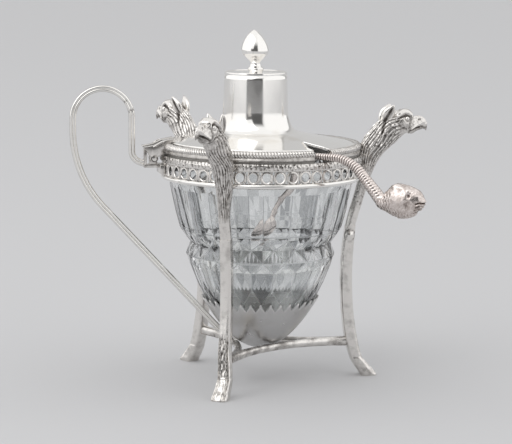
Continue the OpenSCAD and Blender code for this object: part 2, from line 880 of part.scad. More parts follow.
// Stands work drawn in the plane of the axis in the spoon's plane
module beside_rim() {
    translate([rim_cross.x, rim_cross.y, 0])
        rotate([0, 0, spoon_az])
            children();
}

module spoon_stem() {
    line = concat([stem_end], arc_points(inner_c, inner_bend_r, 90 + inner_turn, 90, 9),
        arc_points(outer_c, outer_bend_r, 90, 90 - outer_slope, 7), [head_start]);
    finish("silver")
        beside_rim()
            difference() {
                loft([for (p = line)
                    let(r = stem_r + stem_swell * max(p.x, 0) / head_start.x) [p.x, p.y, r, r]]);
                translate([stem_end.x, 0, stem_end.y])
                    rotate([0, -inner_az, 0])
                        translate([-bowl_lap - 0.5, -2 * stem_r, 0])
                            cube([4 * stem_r, 4 * stem_r, 2 * stem_r]);
            }
}

module spoon_head() {
    finish("silver")
        beside_rim()
            translate([head_start.x, 0, head_start.y]) {
                loft(beast_stations);
                for (side = [-1, 1]) {
                    loft(beast_ear_stations, side * beast_ear_y);
                    translate([beast_eye_at.x, side * beast_eye_y, beast_eye_at.y])
                        sphere(r = beast_eye_r, $fn = 24);
                }
            }
}

module spoon_bowl() {
    finish("silver")
        beside_rim()
            difference() {
                bowl_ball(0);
                bowl_ball(bowl_t);
                translate([bowl_c.x, 0, bowl_c.y])
                    rotate([0, -inner_az, 0])
                        translate([-bowl_sphere_r * 2, -bowl_sphere_r * 2, -bowl_sphere_r * 4])
                            cube(bowl_sphere_r * 4);
            }
}

leg_right_lower();
leg_rear_lower();
leg_front_lower();
leg_right_upper();
leg_rear_upper();
leg_front_upper();
stretcher();
calyx_cup();
glass_liner();
band_lower_moulding();
band_frieze();
band_upper_moulding();
handle_loop();
handle_hook();
hinge_bracket();
hinge_pin();
lid_bezel();
lid_rim_moulding();
lid_dome();
tower_cap();
finial();
finial_nut();
lid_hinge_leaf();
spoon_stem();
spoon_head();
spoon_bowl();
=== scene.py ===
# %% [markdown]
# # A silver mustard pot
#
# A cut-glass liner stands in an open silver frame on three hoofed legs that end in beast heads.
# The lid has a short tower with a bud on top, and a spoon leaves the pot through a notch in it.
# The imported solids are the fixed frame. Each piece below is modelled about the pot's own axis in
# millimetres and then moved into that frame, so that it lies where its solid lies.

# %% Load the frame
from math import acos, asin, atan2, copysign, cos, degrees, floor, hypot, pi, radians, sin, sqrt

import bmesh
import bpy
from mathutils import Matrix, Vector, noise


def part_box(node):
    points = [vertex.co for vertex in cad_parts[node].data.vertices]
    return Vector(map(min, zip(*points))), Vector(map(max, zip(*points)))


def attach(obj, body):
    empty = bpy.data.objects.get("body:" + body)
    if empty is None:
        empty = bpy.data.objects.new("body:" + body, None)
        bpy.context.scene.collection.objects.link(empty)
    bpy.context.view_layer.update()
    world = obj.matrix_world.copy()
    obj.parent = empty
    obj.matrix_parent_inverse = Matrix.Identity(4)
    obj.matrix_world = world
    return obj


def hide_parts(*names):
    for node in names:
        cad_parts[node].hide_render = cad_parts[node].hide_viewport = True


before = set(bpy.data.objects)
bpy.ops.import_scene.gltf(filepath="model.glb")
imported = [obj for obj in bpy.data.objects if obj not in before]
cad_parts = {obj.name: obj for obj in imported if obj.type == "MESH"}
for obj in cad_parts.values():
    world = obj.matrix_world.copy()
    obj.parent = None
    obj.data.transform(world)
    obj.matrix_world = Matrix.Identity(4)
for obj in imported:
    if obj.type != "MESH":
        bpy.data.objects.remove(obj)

scene = bpy.context.scene
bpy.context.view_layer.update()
print("nodes in the frame:", len(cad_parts))

# %% [markdown]
# The glass liner is round, so the middle of its box gives the pot's axis. One matrix then carries
# every finished mesh from millimetres about that axis into the frame's metres.

# %% From the pot's axis to the frame
MM = 0.001
liner_low, liner_high = (Vector(corner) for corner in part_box("glass_liner"))
POT_AXIS = Vector(((liner_low.x + liner_high.x) / 2, (liner_low.y + liner_high.y) / 2, 0))
TO_FRAME = Matrix.Translation(POT_AXIS) @ Matrix.Scale(MM, 4)
print("pot's axis, mm:", [round(c / MM, 2) for c in POT_AXIS])


def turn(degrees_round):
    """Turn about the pot's axis."""
    return Matrix.Rotation(radians(degrees_round), 4, "Z")


def move(bm, matrix):
    bmesh.ops.transform(bm, matrix=matrix, verts=bm.verts)


def to_mesh(name, bm):
    """Mesh in the frame's metres, made from a bmesh in millimetres."""
    move(bm, TO_FRAME)
    mesh = bpy.data.meshes.new(name)
    bm.to_mesh(mesh)
    bm.free()
    return mesh


def new_object(name, data):
    made = bpy.data.objects.new(name, data)
    scene.collection.objects.link(made)
    return made

# %% [markdown]
# The camera was fitted to the photograph: it stands a little left of the front, looks slightly
# down, and uses a long lens. The photograph is 512 pixels wide.

# %% Camera
PHOTO_W = 512
VIEW_AZ, VIEW_EL, VIEW_ROLL = radians(-10.603), radians(8.09), radians(0.507)
VIEW_DISTANCE = 918.03
VIEW_FOCAL_PX = 2205.68
VIEW_HEIGHT = 66.044
VIEW_SIDE = -1.931

back = Vector((sin(VIEW_AZ) * cos(VIEW_EL), -cos(VIEW_AZ) * cos(VIEW_EL), sin(VIEW_EL)))
level = Vector((cos(VIEW_AZ), sin(VIEW_AZ), 0))
upward = back.cross(level)
right = cos(VIEW_ROLL) * level + sin(VIEW_ROLL) * upward
up = cos(VIEW_ROLL) * upward - sin(VIEW_ROLL) * level
eye = Vector((0, 0, VIEW_HEIGHT)) + VIEW_SIDE * level + VIEW_DISTANCE * back

camera = new_object("camera", bpy.data.cameras.new("camera"))
camera.data.sensor_width = 36
camera.data.lens = VIEW_FOCAL_PX / PHOTO_W * camera.data.sensor_width
camera.data.clip_start = 0.01
stand = Matrix((right, up, back)).transposed().to_4x4()
camera.matrix_world = Matrix.Translation(TO_FRAME @ eye) @ stand
scene.camera = camera
scene.view_settings.view_transform = "Standard"
print("lens, mm:", round(camera.data.lens, 1))

# %% [markdown]
# The room and the finishes are networks of shader nodes. This class keeps them short to write:
# each method adds one node, plugs in its inputs and gives back the output that is used next.

# %% Node networks
class Network:
    """The shader nodes of a material or a world."""

    def __init__(self, owner):
        owner.use_nodes = True
        self.owner, self.tree = owner, owner.node_tree

    def plug(self, node, inputs):
        """Sets the inputs of a node, each to a value or to the output of another node."""
        for key, value in inputs.items():
            if isinstance(value, bpy.types.NodeSocket):
                self.tree.links.new(value, node.inputs[key])
            else:
                node.inputs[key].default_value = value

    def add(self, kind, inputs, output=0, **settings):
        node = self.tree.nodes.new("ShaderNode" + kind)
        for key, value in settings.items():
            setattr(node, key, value)
        self.plug(node, inputs)
        return node.outputs[output]

    def close(self, end, inputs):
        """Plugs the inputs of the node that ends the network."""
        self.plug(self.tree.nodes[end], inputs)
        return self.owner

    def math(self, operation, *values):
        return self.add("Math", dict(enumerate(values)), operation=operation)

    def attribute(self, name):
        return self.add("Attribute", {}, "Fac", attribute_name=name)

    def spread(self, value, low, high, out_low, out_high):
        """Maps a value from one range to another."""
        return self.add("MapRange", {
            "Value": value, "From Min": low, "From Max": high, "To Min": out_low, "To Max": out_high})

    def noise(self, scale, detail, stretch=(1, 1, 1)):
        """Noise on the object's own coordinates, scale in waves per metre."""
        place = self.add("Mapping", {"Vector": self.add("TexCoord", {}, "Object"), "Scale": stretch})
        return self.add("TexNoise", {"Vector": place, "Scale": scale, "Detail": detail}, "Fac")

    def ramp(self, value, *stops):
        """Colour ramp with (position, colour) stops."""
        ramped = self.add("ValToRGB", {"Fac": value})
        elements = ramped.node.color_ramp.elements
        while len(elements) < len(stops):
            elements.new(0.5)
        for element, (position, colour) in zip(elements, stops):
            element.position = position
            element.color = (*colour, 1)
        return ramped

    def bump(self, height, depth_mm):
        return self.add("Bump", {"Strength": 1, "Distance": depth_mm * MM, "Height": height})


print("node networks ready")

# %% [markdown]
# Silver shows its surroundings, so the studio matters more than for a painted object. The room is
# a dim grey with four soft panels: one overhead, one at each side and one behind the pot. The
# side panels leave the camera's side dark, and that makes the dark upright stripe on the tower.
# One large soft lamp gives the shadows a direction.

# %% Studio
ROOM_GREY = 0.11
PAPER, PAPER_ROUGHNESS = (0.56, 0.56, 0.57, 1), 0.7
FLOOR_REACH = 9000
LAMP_PLACE, LAMP_AIM = TO_FRAME @ Vector((-1100, -1000, 1500)), TO_FRAME @ Vector((0, 0, 70))
LAMP_SIZE, LAMP_POWER = 2000, 12.0


def from_camera(turn_right, rise):
    """Direction as seen from the pot, turned from the camera's side and raised, in degrees."""
    a = VIEW_AZ + radians(turn_right)
    e = radians(rise)
    return sin(a) * cos(e), -cos(a) * cos(e), sin(e)


# Each panel: its direction, the cosine at its edge, the softness of that edge, and its light
PANELS = [
    ((0, 0, 1), 0.62, 0.12, 0.92),
    (from_camera(-88, 6), 0.57, 0.03, 1.04),
    (from_camera(83, 6), 0.55, 0.03, 0.98),
    (from_camera(180, 24), 0.78, 0.12, 0.50)]


def soft_room():
    scene.world = bpy.data.worlds.new("soft_room")
    net = Network(scene.world)
    direction = net.add("TexCoord", {}, "Generated")
    light = 0
    for toward, edge, soft, strength in PANELS:
        middle = Vector(toward).normalized()
        nearness = net.add("VectorMath", {0: direction, 1: middle}, "Value", operation="DOT_PRODUCT")
        light = net.math("MAXIMUM", light, net.spread(nearness, edge - soft, edge + soft, 0, strength))
    net.close("Background", {"Color": net.math("ADD", light, ROOM_GREY)})


def key_lamp():
    lamp = new_object("key_lamp", bpy.data.lights.new("key_lamp", "AREA"))
    lamp.data.size = LAMP_SIZE * MM
    lamp.data.energy = LAMP_POWER
    aim = (LAMP_AIM - LAMP_PLACE).to_track_quat("-Z", "Y").to_matrix().to_4x4()
    lamp.matrix_world = Matrix.Translation(LAMP_PLACE) @ aim


def paper_floor():
    bm = bmesh.new()
    bmesh.ops.create_grid(bm, x_segments=2, y_segments=2, size=FLOOR_REACH)
    studio_floor = new_object("floor", to_mesh("floor", bm))
    paper = Network(bpy.data.materials.new("pale_paper"))
    studio_floor.data.materials.append(
        paper.close("Principled BSDF", {"Base Color": PAPER, "Roughness": PAPER_ROUGHNESS}))


soft_room()
key_lamp()
paper_floor()
print("studio ready")

# %% [markdown]
# The finishes come next. All the silver is metal with a roughness that wanders a little, so that
# reflections break up as they do on a piece that has been polished by hand for two centuries.
# Cast and chased pieces also carry a "relief" value on each vertex: 0 in a recess, 1 on a crest.
# The shader darkens low values with old tarnish and leaves high ones bright. On the pierced chain
# and the handle's reeds the value is painted shade and painted highlight, and under the beaks it
# holds painted shade as well.

# %% Silver and glass
def polished_silver(name, bright, tarnish, smooth, worn):
    """Smooth sheet silver: clouded tarnish, fine scratches, wandering gloss."""
    net = Network(bpy.data.materials.new(name))
    cloud, wipe = net.noise(70, 6), net.noise(420, 8, stretch=(1, 1, 0.25))
    return net.close("Principled BSDF", {
        "Metallic": 1,
        "Base Color": net.ramp(cloud, (0.3, bright), (0.55, bright), (0.8, tarnish)),
        "Roughness": net.spread(wipe, 0.3, 0.7, smooth, worn),
        "Normal": net.bump(net.noise(2600, 3), 0.006)})


def chased_silver(name, dark, middle, bright, smooth, worn):
    """Cast silver whose recesses hold tarnish, driven by each vertex's relief, which on some pieces is
    painted shade and painted highlight.
    """
    net = Network(bpy.data.materials.new(name))
    patches = net.spread(net.noise(500, 5), 0.3, 0.7, -0.14, 0.14)
    # Tarnish in the recesses, plus painted shade and highlight where a piece's relief carries them.
    tarnish_and_painted_light = net.math("ADD", net.attribute("relief"), patches)
    return net.close("Principled BSDF", {
        "Metallic": 1,
        "Base Color": net.ramp(tarnish_and_painted_light, (0.05, dark), (0.42, middle), (0.78, bright)),
        "Roughness": net.spread(tarnish_and_painted_light, 0.1, 0.8, worn, smooth),
        "Normal": net.bump(net.noise(1900, 4), 0.02)})


def cut_glass(name):
    """Lead glass with faint handling marks, rough on its arrises, and with painted light and shade: a tone on
    each facet that darkens or clears it.
    """
    net = Network(bpy.data.materials.new(name))
    marks = net.spread(net.noise(240, 6), 0.45, 0.8, 0.0, 0.05)
    # Painted light and shade: the facet tone runs from this dark glass to this clear one.
    dark, clear = (0.08, 0.095, 0.11), (0.975, 0.985, 0.985)
    return net.close("Principled BSDF", {
        "Transmission Weight": 1,
        "IOR": 1.58,
        "Base Color": net.ramp(net.attribute("tone"), (0, dark), (1, clear)),
        "Roughness": net.math("MULTIPLY_ADD", net.attribute("arris"), 0.34, marks),
        "Normal": net.bump(net.noise(90, 2), 0.004)})


SHEET = polished_silver("sheet_silver", (0.90, 0.885, 0.86), (0.78, 0.74, 0.68), 0.07, 0.17)
REED = chased_silver(
    "reed_silver", (0.12, 0.112, 0.105), (0.50, 0.485, 0.46), (0.88, 0.865, 0.835), 0.12, 0.30)
DULL = polished_silver("dull_silver", (0.62, 0.615, 0.61), (0.47, 0.455, 0.43), 0.27, 0.42)
CAST = chased_silver(
    "cast_silver", (0.075, 0.066, 0.06), (0.44, 0.42, 0.40), (0.80, 0.775, 0.745), 0.17, 0.40)
SPOON = chased_silver(
    "spoon_silver", (0.10, 0.078, 0.07), (0.47, 0.41, 0.38), (0.80, 0.73, 0.695), 0.20, 0.42)
# Painted shade: a darkened silver for the seat ring and the nut, which sit in shadow under the lid and inside
# the tower.
SHADOWED_SEAT = polished_silver("seat_silver_painted_shade", (0.30, 0.29, 0.275), (0.15, 0.14, 0.13), 0.34, 0.55)
GLASS = cut_glass("cut_glass")
print("finishes:", len(bpy.data.materials))

# %% [markdown]
# A few helpers serve all pieces. revolve() spins an outline round an upright axis, as a lathe
# would. sweep() extrudes a ring along a row of matrices, so that a section can bend, widen and
# narrow on its way: wires, legs and heads are all made with it. spline() rounds off a short list
# of measured points. deliver() moves a finished mesh into the frame and ties it to its body.

# %% Helpers: finishing a piece
CREASE = radians(50)


def join_close(bm):
    bmesh.ops.remove_doubles(bm, verts=bm.verts, dist=1e-4)


def face_out(bm):
    bmesh.ops.recalc_face_normals(bm, faces=bm.faces)


def deliver(name, bm, material, body, *nodes, weld=True, faceted=False, wall=0):
    """Closes a piece: frame coordinates, normals, finish, body and the solids it stands for.
    A wall, in mm, gives a sheet its thickness."""
    if weld:
        join_close(bm)
        face_out(bm)
    mesh = to_mesh(name, bm)
    if not faceted:
        mesh.shade_smooth()
        mesh.set_sharp_from_angle(angle=CREASE)
    mesh.materials.append(material)
    piece = new_object(name, mesh)
    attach(piece, body)
    if nodes:
        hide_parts(*nodes)
    if wall:
        sheet = piece.modifiers.new("wall", "SOLIDIFY")
        sheet.thickness = wall * MM
        sheet.offset = -1
    print(name, len(mesh.polygons), "faces")


# %% Helpers: vertices
def clamp(value):
    return min(max(value, 0), 1)


def turns(v):
    """How far round the upright axis a vertex is, from 0 to 1."""
    return atan2(v.co.y, v.co.x) / (2 * pi) % 1


def from_axis(v):
    return hypot(v.co.x, v.co.y)


def grain(v, waves):
    """Noise at a vertex, in waves per millimetre."""
    return noise.noise(v.co * waves)


print("vertex helpers ready")

# %% Helpers: forms
def revolve(points, steps, closed=True, start=0, sweep_angle=360, x=0):
    """Spins an outline of (radius, height) points about an upright axis at x."""
    bm = bmesh.new()
    verts = [bm.verts.new((r + x, 0, z)) for r, z in points]
    pairs = list(zip(verts, verts[1:])) + ([(verts[-1], verts[0])] if closed else [])
    geom = verts + [bm.edges.new(pair) for pair in pairs]
    bmesh.ops.rotate(bm, verts=bm.verts, cent=(x, 0, 0), matrix=turn(start).to_3x3())
    bmesh.ops.spin(
        bm, geom=geom, cent=(x, 0, 0), axis=(0, 0, 1), angle=radians(sweep_angle), steps=steps,
        use_merge=sweep_angle == 360)
    join_close(bm)
    return bm


def spline(points, count):
    """Smooth row of count + 1 points through a list of points of any dimension."""
    found = []
    for i in range(count + 1):
        t = i / count * (len(points) - 1)
        k = min(int(t), len(points) - 2)
        a, b, c, d = (points[min(max(j, 0), len(points) - 1)] for j in (k - 1, k, k + 1, k + 2))
        t -= k
        found.append(tuple(
            0.5 * (2 * q + (r - p) * t + (2 * p - 5 * q + 4 * r - s) * t * t
                   + (3 * q - p - 3 * r + s) * t ** 3)
            for p, q, r, s in zip(a, b, c, d)))
    return found


def arc(cx, cz, r, a0, a1, count):
    """Points of an arc, in degrees."""
    angles = [radians(a0 + (a1 - a0) * k / count) for k in range(count + 1)]
    return [(cx + r * cos(a), cz + r * sin(a)) for a in angles]


def extrude_ring(bm, edges):
    """Extrudes a ring of edges in place. Gives the new ring's vertices and edges, and the faces made."""
    made = bmesh.ops.extrude_edge_only(bm, edges=edges)["geom"]
    ring = [g for g in made if isinstance(g, bmesh.types.BMVert)]
    members = set(ring)
    edges = [g for g in made if isinstance(g, bmesh.types.BMEdge) and set(g.verts) <= members]
    return ring, edges, [g for g in made if isinstance(g, bmesh.types.BMFace)]


def sweep(matrices, segments, power=1.0):
    """Extrudes a unit ring through a row of matrices and caps both ends.
    A power under 1 makes the ring squarer. Each vertex keeps how far along the row (0 to 1)
    and how far round the ring (0 to 1) it is."""
    bm = bmesh.new()
    along = bm.verts.layers.float.new("along")
    around = bm.verts.layers.float.new("around")
    ring = bmesh.ops.create_circle(bm, cap_ends=True, radius=1, segments=segments)["verts"]
    for v in ring:
        v[around] = turns(v)
        v.co.x = copysign(abs(v.co.x) ** power, v.co.x)
        v.co.y = copysign(abs(v.co.y) ** power, v.co.y)
    bmesh.ops.transform(bm, matrix=matrices[0], verts=ring)
    edges = list({e for v in ring for e in v.link_edges})
    for i, (last, following) in enumerate(zip(matrices, matrices[1:])):
        ring, edges, _ = extrude_ring(bm, edges)
        bmesh.ops.transform(bm, matrix=following @ last.inverted(), verts=ring)
        for v in ring:
            v[along] = (i + 1) / (len(matrices) - 1)
    bmesh.ops.contextual_create(bm, geom=edges)
    face_out(bm)
    return bm


def frame_at(place, heading, side, half_side, half_up):
    """Matrix of a swept section: its x runs along side, its y square to side and heading."""
    heading = Vector(heading).normalized()
    side = (Vector(side) - Vector(side).dot(heading) * heading).normalized()
    upright = heading.cross(side)
    m = Matrix((side * half_side, upright * half_up, heading)).transposed().to_4x4()
    m.translation = place
    return m


def heading_at(points, i):
    """Direction of a row of points at one of them."""
    return Vector(points[min(i + 1, len(points) - 1)]) - Vector(points[max(i - 1, 0)])


def tube(points, radius, segments, side=(0, 1, 0)):
    """Round bar along a row of points; radius is a number or a function of 0 to 1."""
    rows = []
    for i, p in enumerate(points):
        r = radius(i / (len(points) - 1)) if callable(radius) else radius
        rows.append(frame_at(p, heading_at(points, i), side, r, r))
    return sweep(rows, segments)


def merge(bm, other):
    """Adds another bmesh to the first one."""
    carrier = bpy.data.meshes.new("carrier")
    other.to_mesh(carrier)
    other.free()
    bm.from_mesh(carrier)
    bpy.data.meshes.remove(carrier)


print("form helpers ready")

# %% Helpers: relief
def raise_relief(bm, height):
    """Moves each vertex along its normal by height(vertex) = (mm, relief) and keeps the relief."""
    relief = bm.verts.layers.float.get("relief") or bm.verts.layers.float.new("relief")
    bm.normal_update()
    moves = [(v, *height(v)) for v in bm.verts]
    for v, distance, tone in moves:
        v.co += v.normal * distance
        v[relief] = tone
    return bm


def fade(value, start, end):
    """0 before start, 1 after end, smooth between."""
    t = clamp((value - start) / (end - start))
    return t * t * (3 - 2 * t)


def hump(v, centre, radius):
    """1 at a centre, falling smoothly to 0 at a radius."""
    d = (v - Vector(centre)).length / radius
    return (1 - d * d) ** 2 if d < 1 else 0


def near_line(x, z, row, width):
    """1 on a broken line in an upright plane, falling to 0 at a width from it."""
    best = width
    for (ax, az), (bx, bz) in zip(row, row[1:]):
        ux, uz = bx - ax, bz - az
        t = clamp(((x - ax) * ux + (z - az) * uz) / (ux * ux + uz * uz))
        best = min(best, hypot(x - ax - t * ux, z - az - t * uz))
    return 1 - (best / width) ** 2


print("relief helpers ready")

# %% [markdown]
# The toothed cup that carries the glass was raised from sheet. It is a spun paraboloid, and the
# points of its rim are made by drawing the top rings down between the teeth. Solidify gives the
# sheet its thickness.

# %% Cup
CUP_Z, CUP_H, CUP_R, CUP_WALL = 13.3, 21.9, 24.5, 0.7
TEETH, TOOTH_H, TOOTH_FOOT, TOOTH_CURVE, TOOTH_LEAN = 36, 3.5, 1.2, 0.85, 0.006
CUP_RINGS, CUP_STEPS_PER_TOOTH = 20, 8


def cup_radius(z):
    return CUP_R * sqrt(max(z - CUP_Z, 0) / CUP_H)


def cup():
    rings = [CUP_Z + CUP_H * (k / CUP_RINGS) ** 2 for k in range(CUP_RINGS + 1)]
    bm = revolve([(cup_radius(z), z) for z in rings], TEETH * CUP_STEPS_PER_TOOTH, closed=False)
    shoulder = CUP_Z + CUP_H - TOOTH_H - TOOTH_FOOT
    for v in bm.verts:
        if v.co.z > shoulder:
            share = (v.co.z - shoulder) / (CUP_Z + CUP_H - shoulder)
            swing = abs(turns(v) * TEETH % 1 - 0.5) * 2
            z = v.co.z - share * TOOTH_H * (1 - swing) ** TOOTH_CURVE
            lean = 1 + TOOTH_LEAN * share * swing
            v.co *= cup_radius(z) / from_axis(v) * lean
            v.co.z = z
    deliver("toothed_cup", bm, DULL, "frame", "calyx_cup", wall=CUP_WALL)


cup()

# %% [markdown]
# The liner is blown glass, cut on a wheel. Two tiers meet at a waist: flat flutes above, and below
# them a belly of kites and long lancets. The outer skin starts as a ring of forty vertices, two
# for each flat, that is extruded upward. Where the corners of one ring stand over the flats of the
# next, the faces are split along the line from corner to corner, which gives the kites. The sharp
# edges between the cuts, the arrises, are bevelled. Each facet and arris gets a tone of painted
# light and shade, which stands for the light that the cut gathers from the room.

# %% Glass liner: measures
FLATS = 20
GLASS_RIM_R, GLASS_IN_R, GLASS_TOP = 39.1, 36.8, 93.9
CUP_FLOOR = 15.4
# The cutting starts above the cup, and the upper flutes are hollowed most at one height
CUT_FROM, HOLLOW, HOLLOW_Z = 33, 0.55, 68
# The arrises: width of their bevel, the height they start at, and their tone of painted shade.
ARRIS_W, ARRIS_FROM, ARRIS_PAINTED_SHADE = 0.24, 30, 0.75
# The heights that part one row of facets from the next
TIER_LINES = (49.0, 53.2, 58.3, 62.6)
# Painted light and shade on the cut facets: a tone is dealt out by the facet's direction, in steps of this
# many degrees, and by its row.
PAINTED_LIGHT_STEP = 4.5
PAINTED_FACET_LIGHT = (0.30, 1.0, 0.62, 0.94, 0.38, 1.0, 0.80, 0.50, 0.98, 0.70, 1.0)
# Each ring of the outside: height, corner radius, and whether its corners stand over the flats
GLASS_RINGS = [
    (CUP_FLOOR, 4.7, 0), (17.6, 7.4, 0), (22.0, 13.6, 0), (27.0, 18.3, 0), (31.0, 21.2, 0),
    (35.2, 23.6, 0), (41.6, 26.45, 1), (49.0, 29.4, 1), (53.2, 31.0, 0), (58.3, 29.3, 1),
    (62.6, 32.7, 0), (64.1, 33.6, 0), (70.5, 35.4, 0), (81.6, 37.8, 0)]
# The rim and then the inside, downward: height and radius
GLASS_INSIDE = [
    (85.6, 38.7), (87.0, GLASS_RIM_R), (93.2, GLASS_RIM_R), (93.75, 38.7), (GLASS_TOP, 38.0),
    (93.75, 37.2), (93.2, GLASS_IN_R), (86.8, GLASS_IN_R), (81.8, 35.3), (70.0, 32.4), (64.3, 30.9),
    (59.0, 27.2), (57.6, 26.4), (51.2, 27.4), (41.0, 23.3), (31.0, 18.0), (23.4, 11.5), (20.2, 5.0)]
print("rings of the glass:", len(GLASS_RINGS) + len(GLASS_INSIDE))

# %% Glass liner: cutting
def number_round(v):
    """Place of a vertex in a ring of two vertices per flat."""
    return round(turns(v) * 2 * FLATS)


def ring_to(ring, z, corner_r, shifted=0, rounded=True, hollow=0.0):
    """Sets a ring of two vertices per flat to a circle, or to a polygon with slightly hollow sides."""
    for v in ring:
        k = number_round(v)
        middle = (k + shifted) % 2 == 0
        r = corner_r if rounded or not middle else corner_r * cos(pi / FLATS) - hollow
        a = pi * k / FLATS
        v.co = (r * cos(a), r * sin(a), z)


def split_kites(walls, ring, shifted, last_shift):
    """Splits the walls under a ring from its corners to those of the ring below."""
    members = set(ring)
    for wall in walls:
        corners = [
            v for v in wall.verts
            if (number_round(v) + (shifted if v in members else last_shift)) % 2 == 1]
        corner_top = next(v for v in corners if v in members)
        corner_low = next(v for v in corners if v not in members)
        bmesh.utils.face_split(wall, corner_top, corner_low)


def paint_facet_light(bm):
    """Painted light and shade: a tone for each facet, standing in for the light that every cut gathers from
    another part of the room.
    """
    tone = bm.faces.layers.float.new("tone")
    for f in bm.faces:
        f[tone] = 1
        c = f.calc_center_median()
        if not f.smooth and c.z > CUT_FROM:
            way = round(degrees(atan2(f.normal.y, f.normal.x)) / PAINTED_LIGHT_STEP)
            tier = sum(c.z > z for z in TIER_LINES)
            f[tone] = PAINTED_FACET_LIGHT[(way * 5 + tier * 3) % len(PAINTED_FACET_LIGHT)]


def is_arris(e):
    sharp = e.calc_face_angle(0) > radians(4) and e.is_convex
    return sharp and e.verts[0].co.z > ARRIS_FROM and not any(f.smooth for f in e.link_faces)


def glass():
    bm = bmesh.new()
    ring = bmesh.ops.create_circle(bm, cap_ends=True, radius=1, segments=2 * FLATS)["verts"]
    edges = list({e for v in ring for e in v.link_edges})
    ring_to(ring, *GLASS_RINGS[0])
    last_shift = 0
    for z, r, shifted in GLASS_RINGS[1:]:
        ring, edges, walls = extrude_ring(bm, edges)
        ring_to(ring, z, r, shifted, z < CUT_FROM, HOLLOW * (1 - fade(abs(z - HOLLOW_Z), 4, 15)))
        if shifted != last_shift:
            split_kites(walls, ring, shifted, last_shift)
        last_shift = shifted
    outside = set(bm.faces)
    for z, r in GLASS_INSIDE:
        ring, edges, _ = extrude_ring(bm, edges)
        ring_to(ring, z, r)
    bmesh.ops.contextual_create(bm, geom=edges)
    for f in bm.faces:
        f.smooth = f not in outside
    join_close(bm)
    face_out(bm)
    paint_facet_light(bm)
    arris = bm.faces.layers.float.new("arris")
    tone = bm.faces.layers.float["tone"]
    bevelled = bmesh.ops.bevel(
        bm, geom=[e for e in bm.edges if is_arris(e)], offset=ARRIS_W, offset_type="OFFSET",
        affect="EDGES", segments=1, profile=0.5, material=-1, clamp_overlap=True)
    for f in bevelled["faces"]:
        f[arris] = 1
        # Painted shade: the bevelled arrises get a darker tone.
        f[tone] = ARRIS_PAINTED_SHADE
    deliver("cut_glass_liner", bm, GLASS, "frame", "glass_liner", weld=False, faceted=True)


glass()

# %% [markdown]
# The band is three rings soldered together: a bright half-round below, a chain of pierced rings
# with little posts between them, and a stamped edge of leaves above. The chain is one link,
# repeated by spin with duplicates. The leaf edge is a spun ring with many steps, whose surface is
# then lifted leaf by leaf.

# %% Band
FRIEZE_R, BAND_Z, FRIEZE_Z, UPPER_Z, BAND_TOP, BAND_IN = 41.2, 84.8, 86.8, 91.8, 94.4, 39.5
ROUND_STEPS = 192


def lower_ring():
    half_round = arc(FRIEZE_R - 0.55, BAND_Z + 1.0, 1.02, -85, 85, 12)
    bm = revolve([(BAND_IN, BAND_Z)] + half_round + [(BAND_IN, FRIEZE_Z)], ROUND_STEPS)
    raise_relief(bm, lambda v: (0.03 * grain(v, 0.35), 0.9))
    deliver("band_lower_ring", bm, SHEET, "frame", "band_lower_moulding")


lower_ring()

# %% The pierced chain
LINKS = 48
CHAIN_R, LINK_HALF_W, LINK_HALF_H, LINK_WIRE_R = FRIEZE_R - 0.45, 2.02, 2.25, 0.4
POST_HALF_H, POST_WIRE_R = 2.5, 0.3


def link_chain():
    middle = (FRIEZE_Z + UPPER_Z) / 2
    half_pitch = pi * FRIEZE_R / LINKS
    bm = bmesh.new()
    angles = [2 * pi * k / 20 for k in range(21)]
    ring = [(CHAIN_R, LINK_HALF_W * cos(a), middle + LINK_HALF_H * sin(a)) for a in angles]
    merge(bm, tube(ring, LINK_WIRE_R, 7, side=(1, 0, 0)))
    for lean in (-1, 1):
        post = [(CHAIN_R, half_pitch + lean * (0.28 + 0.55 * (s / POST_HALF_H) ** 2), middle + s)
                for s in (-POST_HALF_H, -1.7, -0.8, 0, 0.8, 1.7, POST_HALF_H)]
        merge(bm, tube(post, POST_WIRE_R, 6, side=(1, 0, 0)))
    bmesh.ops.spin(
        bm, geom=bm.verts[:] + bm.edges[:] + bm.faces[:], cent=(0, 0, 0), axis=(0, 0, 1),
        angle=2 * pi * (LINKS - 1) / LINKS, steps=LINKS - 1, use_duplicate=True)
    # Painted shade: each link darkens towards the glass, on its inner side; the outer side stays bright.
    raise_relief(bm, lambda v: (0, clamp((from_axis(v) - FRIEZE_R + 0.78) / 0.7)))
    deliver("pierced_chain", bm, CAST, "frame", "band_frieze")


link_chain()

# %% The leaf edge
LEAVES, LEAF_STEPS, LEAF_H = 150, 6, 0.22
# The edge stands up a little round the seat of the lid
LIP_H = 0.45


def leaf_ring():
    low, high = UPPER_Z, BAND_TOP + LIP_H
    belly = [(FRIEZE_R + 0.85 - 0.25 * (2 * t - 1) ** 2, low + 0.15 + (high - low - 0.4) * t)
             for t in [k / 9 for k in range(10)]]
    lip = [(FRIEZE_R + 0.3, high), (FRIEZE_R - 0.3, high), (FRIEZE_R - 0.45, BAND_TOP), (BAND_IN, BAND_TOP)]
    bm = revolve([(BAND_IN, low), (FRIEZE_R + 0.2, low)] + belly + lip, LEAVES * LEAF_STEPS)

    def leaf(v):
        if from_axis(v) < FRIEZE_R + 0.35:
            return 0, 0.45
        t = (v.co.z - low) / (high - low)
        if t < 0.24:
            return 0.1, 0.95
        uneven = grain(v, 1.3)
        across = (turns(v) * LEAVES + 0.5 * t + 0.7 * uneven) % 1 - 0.5
        width = 0.47 * sqrt(max(0.02, 1 - (1.5 * t - 0.75) ** 2))
        crown = max(0, 1 - (across / width) ** 2)
        return LEAF_H * crown + 0.1 * uneven, 0.16 + 0.75 * crown + 0.35 * uneven
    raise_relief(bm, leaf)
    deliver("leaf_ring", bm, CAST, "frame", "band_upper_moulding")


leaf_ring()

